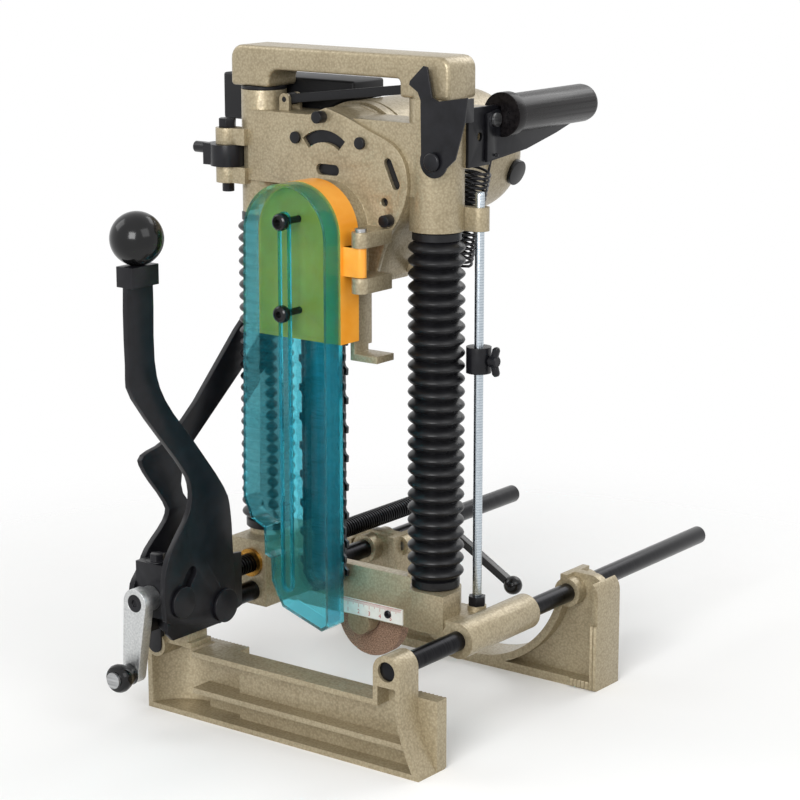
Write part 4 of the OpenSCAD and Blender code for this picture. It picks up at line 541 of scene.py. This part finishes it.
def join(pieces):
    """Several meshes as one object."""
    bpy.ops.object.select_all(action="DESELECT")
    for piece in pieces:
        piece.select_set(True)
    bpy.context.view_layer.objects.active = pieces[0]
    bpy.ops.object.join()
    return pieces[0]


def copy_to(piece, move):
    """A copy with its own mesh, moved by a matrix."""
    twin = piece.copy()
    twin.data = piece.data.copy()
    twin.data.transform(move)
    bpy.context.scene.collection.objects.link(twin)
    return twin


def arc(cx, cz, r, a0, a1, n):
    """Points of an arc in the front view."""
    turns = [math.radians(a0 + (a1 - a0) * i / n) for i in range(n + 1)]
    return [(cx + r * math.cos(t), cz + r * math.sin(t)) for t in turns]


# %% [markdown]
# The rear jaw's right end is hollow on both sides of its web, with a thin end wall whose top
# corner is round. Blocks cut the hollows, and a block with a round bite cuts the corner.
# %% Rear jaw
def block(x0, x1, y0, y1, z0, z1):
    """A plain block in mm, only to cut or unite with."""
    return prism([(x0, y0, z0), (x1, y0, z0), (x1, y0, z1), (x0, y0, z1)], (0, y1 - y0, 0))


END_WALL_X, JAW_TOP_Z, CORNER_R, JAW_EDGE_MM = 121, 89.5, 14, 1.2
rear = plain_copy("rear_jaw")
corner = [(127, JAW_TOP_Z), (112, JAW_TOP_Z)] + arc(112, 74, CORNER_R, 90, 0, 8) + [(127, 74)]
for cutter in (block(101, END_WALL_X, 206, 221, 7, 61.5),
               block(110.6, END_WALL_X, 206, 221, 61, JAW_TOP_Z),
               block(110.6, END_WALL_X, 229, 243, 7, JAW_TOP_Z),
               prism([(x, 200, z) for x, z in corner], (0, 50, 0))):
    combine(rear, cutter, "DIFFERENCE")
bevel(rear, JAW_EDGE_MM)
hand_over(rear, "rear_jaw_finished", nodes["rear_jaw"]["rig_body"], finish_of["rear_jaw"],
          "rear_jaw")
print("rear jaw faces:", len(rear.data.polygons))

# %% [markdown]
# The bellows are moulded in folds: straight flanks between a narrow valley and a rounded crest.
# One fold is a triangle wave eased by a sine, and the whole outline is spun round the column.
# The real bellows flatten towards the lower cuff as the head plunges; these keep one shape.
# %% Bellows and the springs inside them
RIBS = 26
RIB_POINTS = 8
BELLOWS = {"right_bellows": (RIGHT_X, 99.3), "left_bellows": (LEFT_X, 118.3)}
TOP_Z, CREST_R, VALLEY_R, BORE_R, CUFF_R, CUFF_H = 362.7, 20.8, 16.2, 14.8, 17.8, 7
for name, (x, low_z) in BELLOWS.items():
    low, high = low_z + CUFF_H, TOP_Z - CUFF_H
    pitch = (high - low) / RIBS
    wave = [(VALLEY_R + (CREST_R - VALLEY_R)
             * math.sin(math.pi / 2 * (1 - abs(2 * k / RIB_POINTS - 1))) ** 1.2,
             low + (i + k / RIB_POINTS) * pitch) for i in range(RIBS) for k in range(RIB_POINTS)]
    cuff = [(CUFF_R - 0.8, low_z), (CUFF_R, low_z + 0.8), (CUFF_R, low - 1),
            (CUFF_R - 1, low - 0.3)]
    cap = [(VALLEY_R, high), (CUFF_R - 1, high + 0.3), (CUFF_R, high + 1), (CUFF_R, TOP_Z - 0.8),
           (CUFF_R - 0.8, TOP_Z)]
    piece = lathe([(BORE_R, low_z)] + cuff + wave + cap + [(BORE_R, TOP_Z)], (x, COLUMN_Y, 0),
                  (0, 0, 1))
    bpy.ops.object.shade_smooth()
    hand_over(piece, name + "_finished", "carriage", rubber, name)
    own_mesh(piece)
    print(name, "ribs:", RIBS, "faces:", len(piece.data.polygons))

TURNS, TURN_POINTS, COIL_R, COIL_WIRE_R, COIL_END_MM = 30, 14, 12.0, 0.9, 1.5
coils = []
for x, low_z in BELLOWS.values():
    length = TOP_Z - low_z - 2 * COIL_END_MM
    path = [(x + COIL_R * math.cos(math.tau * i / TURN_POINTS),
             COLUMN_Y + COIL_R * math.sin(math.tau * i / TURN_POINTS),
             low_z + COIL_END_MM + length * i / (TURNS * TURN_POINTS))
            for i in range(TURNS * TURN_POINTS + 1)]
    coils.append(wire(path, COIL_WIRE_R, 1))
springs = hand_over(join(coils), "column_springs_finished", "carriage", turned_up, "column_springs")
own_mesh(springs)

# %% [markdown]
# The grip's return spring is black wire in close turns, with a straight leg at each end that
# hooks through the squeeze lever above and over the small post below.
# %% Grip spring
COIL_A = Vector((61.5, 138, 403.6))
COIL_B = Vector((43, 141, 334))
line = (COIL_B - COIL_A).normalized()
across = line.cross(Vector((0, 1, 0))).normalized()
third = line.cross(across)
SPRING_TURNS, SPRING_R, SPRING_STEPS, SPRING_WIRE_R = 20, 11, 22, 1.05
path = [Vector((80.9, 138, 414.6)), Vector((75.5, 138, 414.6))]
for i in range(SPRING_TURNS * SPRING_STEPS + 1):
    share = i / (SPRING_TURNS * SPRING_STEPS)
    turn = math.tau * SPRING_TURNS * share
    path.append(COIL_A.lerp(COIL_B, share) + SPRING_R * (math.cos(turn) * across
                                                       + math.sin(turn) * third))
path += [Vector((36, 141, 330)), Vector((28, 141, 330))]
spring = hand_over(wire(path, SPRING_WIRE_R, 2), "grip_spring_finished", "head", black_spring,
                   "grip_spring")
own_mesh(spring)
print("grip spring points:", len(path))

# %% [markdown]
# The lead screw's thread is one pitch of its outline, wound along the axis by the screw
# operator. A plain core and two short collars close its ends.
# %% Lead screw
PITCH_MM = 3.0
SCREW_X, SCREW_Z, SCREW_Y0, SCREW_L = -98, 96.5, -29.7, 320
THREADS = 105
outline = [(7.5, PITCH_MM), (6.3, 2.6), (6.3, 1.5), (7.5, 1.1), (7.5, 0)]
thread = open_path([(SCREW_X + r, SCREW_Y0 + 1 + a, SCREW_Z) for r, a in outline])
in_edit(lambda: bpy.ops.mesh.screw(steps=20, turns=THREADS, axis=(0, 1, 0),
                                   center=(SCREW_X * MM, 0, SCREW_Z * MM)), tidy)
bpy.ops.object.shade_smooth_by_angle(angle=math.radians(SHARP_DEG))
END = SCREW_Y0 + SCREW_L
core = lathe([(0, -54.8), (5, -54.8), (5, SCREW_Y0), (7.5, SCREW_Y0), (7.5, SCREW_Y0 + 1.5),
              (6.4, SCREW_Y0 + 1.5), (6.4, END - 3), (7.5, END - 3), (7.5, END - 1), (6.5, END),
              (0, END)], (SCREW_X, 0, SCREW_Z), (0, 1, 0), 32)
hand_over(join([core, thread]), "lead_screw_finished", nodes["lead_screw"]["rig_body"], oxide,
          "lead_screw")

# %% [markdown]
# The motor housing is a turned shape: a groove behind its joint with the case, a seam two thirds
# of the way back where the end bell is screwed on, and a wide dome.
# %% Motor housing
MOTOR = (-30, 0, 400)
MOTOR_R, DOME_Y, DOME_EDGE_MM, DOME_DEPTH = 48, 248, 11, 22
dome = [(MOTOR_R - DOME_EDGE_MM + DOME_EDGE_MM * math.cos(math.radians(a)),
         DOME_Y + DOME_DEPTH * math.sin(math.radians(a))) for a in range(0, 91, 9)]
motor = lathe([(0, 118), (MOTOR_R, 118), (MOTOR_R, 126), (47.2, 126.8), (47.2, 128.2),
               (MOTOR_R, 129), (MOTOR_R, 214), (47, 215), (47, 216.5), (MOTOR_R, 217.5)]
              + dome + [(0, DOME_Y + DOME_DEPTH)], MOTOR, (0, 1, 0), 72)
hand_over(motor, "motor_housing_finished", "head", hammered, "motor_housing")

# %% [markdown]
# The top handle is one casting with rounded edges, because a hand holds it. Its front outline
# is two legs and the bar, pushed back and rounded by four millimetres. Both legs are bored for
# the columns, which rise into them as the head goes down. A tube stands under its right leg,
# and a black ring under its left one.
# %% Top handle
HANDLE_X0, HANDLE_X1, OPEN_X0, OPEN_X1 = -123, 76, -87, 33
HANDLE_TOP_Z, BAR_Z, LEG_Z, COLUMN_ROOM_Z, COLUMN_ROOM_R = 487, 470, 457, 479, 11
front = arc(HANDLE_X1 - 9, HANDLE_TOP_Z - 9, 9, 0, 90, 5)
front += arc(HANDLE_X0 + 10, HANDLE_TOP_Z - 10, 10, 90, 180, 5)
front += [(HANDLE_X0, LEG_Z), (OPEN_X0, LEG_Z)] + arc(OPEN_X0 + 8, BAR_Z - 8, 8, 180, 90, 4)
front += arc(OPEN_X1 - 3, BAR_Z - 3, 3, 90, 0, 4) + [(OPEN_X1, LEG_Z), (HANDLE_X1, LEG_Z)]
handle = prism([(x, 84, z) for x, z in front], (0, 34, 0))
bevel(handle, 4, 4, 40)
for x in (LEFT_X, RIGHT_X):
    room = lathe([(0, 450), (COLUMN_ROOM_R, 450), (COLUMN_ROOM_R, COLUMN_ROOM_Z),
                  (0, COLUMN_ROOM_Z)], (x, COLUMN_Y, 0), (0, 0, 1))
    combine(handle, room, "DIFFERENCE")
bpy.ops.object.shade_smooth_by_angle(angle=math.radians(SHARP_DEG))
tube = lathe([(COLUMN_ROOM_R, LEG_Z), (18.5, LEG_Z), (18.5, BAR_Z), (COLUMN_ROOM_R, BAR_Z)],
             (RIGHT_X, COLUMN_Y, 0), (0, 0, 1))
hand_over(join([handle, tube]), "top_handle_finished", "head", hammered, "top_handle")
ring = lathe([(10.9, 454), (16.4, 454), (17, 454.6), (17, 456.4), (16.4, LEG_Z), (10.9, LEG_Z)],
             (LEFT_X, COLUMN_Y, 0), (0, 0, 1))
hand_over(ring, "handle_ring", "head", satin, slot="black_steel")

# %% [markdown]
# The crank knob is turned: a shallow dome on a narrow waist. The two knobs that the guard slides
# on have domed heads with a socket, and a flange where they meet the cover.
# %% Knobs
CRANK_R, CRANK_DEG = 55, 6
knob_x = SCREW_X - CRANK_R * math.sin(math.radians(CRANK_DEG))
knob_z = SCREW_Z - CRANK_R * math.cos(math.radians(CRANK_DEG))
knob = lathe([(4.1, -75.6), (7.5, -75.6), (9.3, -74.8), (10.4, -72.8), (10.5, -70), (9.6, -67),
              (7.9, -64.5), (7.4, -62), (7.9, -59.6), (4.1, -59.6)], (knob_x, 0, knob_z), (0, 1, 0))
hand_over(knob, "crank_knob_finished", "crank_knob", polished, "crank_knob")

COVER_X, COVER_KNOBS_Z = -25, (305, 371)
heads = []
for z in COVER_KNOBS_Z:
    heads.append(lathe([(0, 21.5), (2.4, 21.5), (2.4, 19.1), (4.6, 19), (5.8, 19.7), (6.3, 21),
                        (6.3, 24.4), (5.8, 25), (2.6, 25), (2.6, 44.8), (5, 44.8), (5, 46.8),
                        (0, 46.8)], (COVER_X, 0, z), (0, 1, 0), 32))
hand_over(join(heads), "cover_knobs_finished", "cover", polished, "cover_knobs")

# %% [markdown]
# The stop collar is held by a wing bolt: a round boss with two flat ears that spread outwards.
# One ear is a plate with a rounded end, leaning forty degrees, and the other is its mirror twin.
# %% Wing bolt
low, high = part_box("wing_bolt")
bolt_x, bolt_y, bolt_z = low[0] / MM, (low[1] + high[1]) / 2 / MM, (low[2] + high[2]) / 2 / MM
bolt_len = (high[0] - low[0]) / MM
boss = lathe([(0, bolt_x), (2.4, bolt_x), (2.4, bolt_x + 6), (4.4, bolt_x + 7),
              (4.4, bolt_x + bolt_len - 2), (3.4, bolt_x + bolt_len - 1),
              (0, bolt_x + bolt_len - 1)], (0, bolt_y, bolt_z), (1, 0, 0), 32)
EAR = [(7.4, 1), (bolt_len - 2, 1), (bolt_len, 8), (bolt_len - 0.6, 10.4), (bolt_len - 3, 11),
       (bolt_len - 5, 9.4)]
ear = prism([(bolt_x + a, bolt_y - 2, bolt_z + b) for a, b in EAR], (0, 4, 0))
bevel(ear, 0.9, 3, 50)
turn_over = (Matrix.Translation(Vector((0, 0, bolt_z)) * MM) @ Matrix.Diagonal((1, 1, -1, 1))
             @ Matrix.Translation(Vector((0, 0, -bolt_z)) * MM))
twin = copy_to(ear, turn_over)
pick(twin)
in_edit(tidy)
hand_over(join([boss, ear, twin]), "wing_bolt_finished", "wing_bolt", satin, "wing_bolt")
print("wing bolt from x", round(bolt_x, 1), "length", round(bolt_len, 1))

# %% [markdown]
# The gear plate has four openings, and the case behind them lies in shade. Thin black plates
# set back in the openings are painted shade: they stand for that shadow, not for a black part.
# %% Painted shade inside the gear case
def round_slot(a, b, radius):
    """Outline of a slot with round ends between two points of the front view."""
    turn = math.degrees(math.atan2(b[1] - a[1], b[0] - a[0]))
    return arc(*a, radius, turn + 90, turn + 270, 8) + arc(*b, radius, turn - 90, turn + 90, 8)


holes = [arc(-30, 400, 30.7, 50, 130, 14) + arc(-30, 400, 21.3, 130, 50, 14),
         round_slot((-33, 402), (-20, 402), 4.2), round_slot((28, 411), (35, 396), 3.7),
         arc(25, 383, 3.2, 0, 345, 23)]
SHADE_PLATE_Y, SHADE_PLATE_T = 81.0, 0.45
# the black plates are painted shade, standing for the shadow inside the gear case
inside = join([prism([(x, SHADE_PLATE_Y, z) for x, z in hole], (0, SHADE_PLATE_T, 0)) for hole in holes])
hand_over(inside, "case_painted_shade", "head", satin, slot="black_steel")

# %% [markdown]
# The saw chain is five rows of links side by side, with a raked cutting tooth on every other
# link. One link with a tooth and one without are built flat, then copies are set at each step
# round the bar's nose, its straight sides and the sprocket.
# %% Saw chain
CHAIN_X, NOSE_Z, DRIVE_Z, TRACK_R, LINK_MM, LINK_T = COVER_X, 106, 360, 13, 10.85, 2.5
run = DRIVE_Z - NOSE_Z
loop = 2 * run + math.tau * TRACK_R
links = round(loop / LINK_MM)
step = loop / links


def on_loop(s):
    """Place and outward angle of the chain at a distance s round its loop."""
    s %= loop
    if s < run:
        return CHAIN_X + TRACK_R, NOSE_Z + s, 0
    s -= run
    if s < math.pi * TRACK_R:
        turn = s / TRACK_R
        return CHAIN_X + TRACK_R * math.cos(turn), DRIVE_Z + TRACK_R * math.sin(turn), turn
    s -= math.pi * TRACK_R
    if s < run:
        return CHAIN_X - TRACK_R, DRIVE_Z - s, math.pi
    turn = math.pi + (s - run) / TRACK_R
    return CHAIN_X + TRACK_R * math.cos(turn), NOSE_Z + TRACK_R * math.sin(turn), turn


half = step / 2
back = [(-1.4, half + 1.6), (-2.1, half - 1), (-2.1, -half + 1), (-1.4, -half - 1.6),
        (1.4, -half - 1.6)]
plain = back + [(2.3, -half + 1), (2.3, half - 1), (1.4, half + 1.6)]
tooth = back + [(2.3, -half + 0.6), (4.6, -half + 0.2), (4.9, -0.4), (2.9, 1.0), (2.2, 2.4),
                (1.4, half + 1.6)]
ROWS_Y = [62.9, 65.7, 68.5, 71.3, 74.1]
flat = {}
for kind, shape in (("tooth", tooth), ("plain", plain)):
    flat[kind] = prism([(u, 0, v) for u, v in shape], (0, LINK_T, 0))
    bevel(flat[kind], 0.25, 1, 50)
parts = []
for k in range(links):
    x, z, turn = on_loop(k * step)
    for row, y in enumerate(ROWS_Y):
        place = Matrix.Translation(Vector((x, y, z)) * MM) @ Matrix.Rotation(-turn, 4, "Y")
        parts.append(copy_to(flat["tooth" if (k + row) % 2 == 0 else "plain"], place))
for link in flat.values():
    bpy.data.objects.remove(link)
chain = join(parts)
hand_over(chain, "saw_chain_finished", "head", chain_steel, "saw_chain")
print("chain links:", links, "faces:", len(chain.data.polygons))

# %% [markdown]
# The guard is a clear moulding: a flat plate, thin side walls, a slot with a lip and a stepped
# lower edge. The real plate is in front and its slot goes through it. This one is the wrong way
# round: the plate is behind, against the cover, the walls run forward from it to an open edge,
# and the slot and its lip miss the plate. It also grows two millimetres past the frame's own
# guard. It is a known fault.
# %% Chain guard
AXIS_X, AXIS_Z, ROUND_R, LOW_Z = COVER_X, 360, 35.5, 76
GUARD_Y0, GUARD_Y1, GUARD_WALL_MM, GUARD_EDGE_MM = 25.9, 42.0, 2.2, 4.2
SLOT_Z0, SLOT_Z1, SLOT_R, LIP_R = 100, 376, 3.3, 5.4
SHARES = [(-1.1, 0.31), (-0.9, 0.26), (-0.56, 0.24), (-0.54, 0.17), (-0.38, 0.162),
          (-0.36, 0.1), (-0.1, 0.04), (0.88, 0), (1, 0.01)]
top = arc(AXIS_X, AXIS_Z, ROUND_R, 0, 180, 28)
step_edge = [(AXIS_X + a * ROUND_R, LOW_Z + b * (AXIS_Z - LOW_Z)) for a, b in SHARES]
guard = shell(top + step_edge, GUARD_Y0, GUARD_Y1, GUARD_WALL_MM, GUARD_EDGE_MM, 3)


def slot_plate(radius, y0, y1):
    """A plate of the slot's shape, as its raised lip or as what cuts it."""
    ends = arc(AXIS_X, SLOT_Z1 - SLOT_R, radius, 0, 180, 8)
    ends += arc(AXIS_X, SLOT_Z0 + SLOT_R, radius, 180, 360, 8)
    return prism([(x, y0, z) for x, z in ends], (0, y1 - y0, 0))


combine(guard, slot_plate(LIP_R, 25.3, 27.4), "UNION")
combine(guard, slot_plate(SLOT_R, 20, 40), "DIFFERENCE")
bpy.ops.object.shade_smooth_by_angle(angle=math.radians(24))
hand_over(guard, "chain_guard_finished", "guard", clear_blue, "chain_guard")

# %% [markdown]
# The cover is pressed from sheet, with a barrel on its right side through which the hinge pin
# runs. The cover was already rounded with the other parts, and that copy is the one seen from
# the front. This shell stands in the same place as a second cover, with its plate behind, which
# is a known fault too.
# %% Chain cover
COVER_Z, COVER_Y0, COVER_Y1, SHEET_MM, COVER_EDGE_MM = 286, 42.3, 61.0, 2.3, 3.2
BARREL_X, BARREL_Y, BARREL_Z0, BARREL_Z1 = 25, 50, 333, 354
cover = shell(top + [(AXIS_X - ROUND_R, COVER_Z), (AXIS_X + ROUND_R, COVER_Z)], COVER_Y0,
              COVER_Y1, SHEET_MM, COVER_EDGE_MM, 5, low_z=COVER_Z)
bpy.ops.object.shade_smooth_by_angle(angle=math.radians(30))
barrel = lathe([(2.4, BARREL_Z0), (4.2, BARREL_Z0), (4.2, BARREL_Z1), (2.4, BARREL_Z1)],
               (BARREL_X, BARREL_Y, 0), (0, 0, 1), 32)
arm = prism([(8.6, 46.2, BARREL_Z0), (21.5, 46.2, BARREL_Z0), (21.5, 53.8, BARREL_Z0),
             (8.6, 53.8, BARREL_Z0)], (0, 0, BARREL_Z1 - BARREL_Z0))
hand_over(join([cover, barrel, arm]), "chain_cover_finished", "cover", amber, "chain_cover")

# %% [markdown]
# The ruler is enamelled with a red scale. Its marks are thin plates laid on its face, one for
# each millimetre, longer at each fifth and tenth, and its numbers are text made into mesh.
# %% Ruler marks and numbers
RULER_X, RULER_Z, FACE_Y, MARK_T, DIGIT_MM = -22.5, 70, 81.0, 0.06, 4.6


def mark(x0, x1, z0, z1):
    """A thin plate on the ruler's face, between two heights."""
    return prism([(x0, FACE_Y, z0), (x1, FACE_Y, z0), (x1, FACE_Y, z1), (x0, FACE_Y, z1)],
                 (0, -MARK_T, 0))


TOP = RULER_Z + 11.4
one = mark(-0.14, 0.14, -1, 0)
marks = [mark(RULER_X + 0.8, RULER_X + 60, TOP - 0.2, TOP + 0.1)]
for mm in range(1, 60):
    tall = 5.0 if mm % 10 == 0 else 3.6 if mm % 5 == 0 else 2.2
    marks.append(copy_to(one, Matrix.Translation(Vector((RULER_X + mm, 0, TOP)) * MM)
                         @ Matrix.Diagonal((1, 1, tall, 1))))
bpy.data.objects.remove(one)
for number in range(1, 6):
    bpy.ops.object.select_all(action="DESELECT")
    bpy.ops.object.text_add()
    digit = bpy.context.object
    digit.data.body = str(number)
    digit.data.size = DIGIT_MM * MM
    digit.data.extrude = MARK_T / 2 * MM
    digit.data.align_x = "CENTER"
    bpy.ops.object.convert(target="MESH")
    digit = bpy.context.object
    digit.data.transform(Matrix.Translation(
        Vector((RULER_X + number * 10, FACE_Y - MARK_T / 2, RULER_Z + 1.6)) * MM)
        @ Matrix.Rotation(math.radians(90), 4, "X"))
    marks.append(digit)
hand_over(join(marks), "ruler_marks", "carriage", ink, slot="ruler_white")
screw = lathe([(0, 80.4), (1.2, 80.4), (1.2, 79.6), (2.2, 79.5), (2.9, 80), (3.1, 81), (0, 81)],
              (25, 0, 76), (0, 1, 0), 24)
hand_over(screw, "ruler_screw", "carriage", satin, slot="black_steel")
print("ruler marks:", len(marks))

# %% [markdown]
# The photograph was taken with a long lens from the front right and a little above. The aim,
# distance and angles below are those at which the edges of the two jaws line up with it.
# %% Camera
AIM = Vector((67.2, 39.9, 252)) * MM
DISTANCE = 1680 * MM
TURN = math.radians(37)
TILT = math.radians(13)
LENS_MM = 108.2
forward = Vector((-math.sin(TURN) * math.cos(TILT), math.cos(TURN) * math.cos(TILT),
                  -math.sin(TILT)))
camera = bpy.data.objects.new("camera", bpy.data.cameras.new("camera"))
bpy.context.scene.collection.objects.link(camera)
camera.location = AIM - forward * DISTANCE
camera.rotation_euler = forward.to_track_quat("-Z", "Y").to_euler()
camera.data.lens = LENS_MM
camera.data.sensor_width = 36
camera.data.clip_start = 0.05
camera.data.clip_end = 50
camera.data.dof.use_dof = False
bpy.context.scene.camera = camera
print("camera at", [round(v, 3) for v in camera.location])

# %% [markdown]
# A pale floor catches the shadow, and four large soft lamps light the machine plainly. The world
# is white where it is seen directly, in a mirror or through glass, and a softer white where it
# lights the machine. The floor fades out in a ring round the machine, which hides its horizon
# and keeps the shadow.
# %% Floor, lamps and white background
bpy.ops.mesh.primitive_plane_add(size=12, location=(0, 0, 0))
floor = bpy.context.object
floor.name = "floor"
FLOOR_CENTRE, FADE_FROM_M, FADE_TO_M = (0, 0.12, 0), 0.3, 0.75
floor_paint, tree, shader, place = blank("matt white floor", Roughness=0.9)
shader.inputs["Base Color"].default_value = linear("f4f4f3")
from_middle = add(tree, "ShaderNodeVectorMath", {"operation": "DISTANCE"},
                  {0: place, 1: FLOOR_CENTRE})
fade = add(tree, "ShaderNodeMapRange", {"interpolation_type": "SMOOTHSTEP"},
           {"Value": from_middle.outputs["Value"], "From Min": FADE_FROM_M,
            "From Max": FADE_TO_M, "To Min": 1.0, "To Max": 0.0})
tree.links.new(fade.outputs["Result"], shader.inputs["Alpha"])
floor.data.materials.append(floor_paint)

world = bpy.data.worlds.new("studio")
bpy.context.scene.world = world
world.use_nodes = True
tree = world.node_tree
tree.nodes.clear()
path = add(tree, "ShaderNodeLightPath")
seen = add(tree, "ShaderNodeMath", {"operation": "MAXIMUM"},
           {0: path.outputs["Is Camera Ray"], 1: path.outputs["Is Glossy Ray"]})
seen_too = add(tree, "ShaderNodeMath", {"operation": "MAXIMUM"},
               {0: seen.outputs[0], 1: path.outputs["Is Transmission Ray"]})
fill = add(tree, "ShaderNodeBackground", inputs={"Color": (1, 1, 1, 1), "Strength": 0.55})
white = add(tree, "ShaderNodeBackground", inputs={"Color": (1, 1, 1, 1), "Strength": 1.0})
mix = add(tree, "ShaderNodeMixShader", inputs={0: seen_too.outputs[0], 1: fill.outputs[0],
                                               2: white.outputs[0]})
add(tree, "ShaderNodeOutputWorld", inputs={"Surface": mix.outputs[0]})

LAMPS_AIM = Vector((0, 0.1, 0.25))
LAMPS = {"key": ((0.7, -1.9, 1.1), 34, 1.0), "side": ((1.8, -0.2, 1.4), 10, 1.2),
         "left": ((-1.5, -0.6, 1.5), 7, 1.0), "back": ((0.2, 1.8, 1.6), 12, 1.2)}
for name, (spot, watts, size) in LAMPS.items():
    lamp = bpy.data.objects.new(name, bpy.data.lights.new(name, "AREA"))
    lamp.data.energy = watts
    lamp.data.size = size
    lamp.location = spot
    lamp.rotation_euler = (LAMPS_AIM - Vector(spot)).to_track_quat("-Z", "Y").to_euler()
    bpy.context.scene.collection.objects.link(lamp)
bpy.context.scene.view_settings.view_transform = "Standard"
print("lamps:", list(LAMPS))
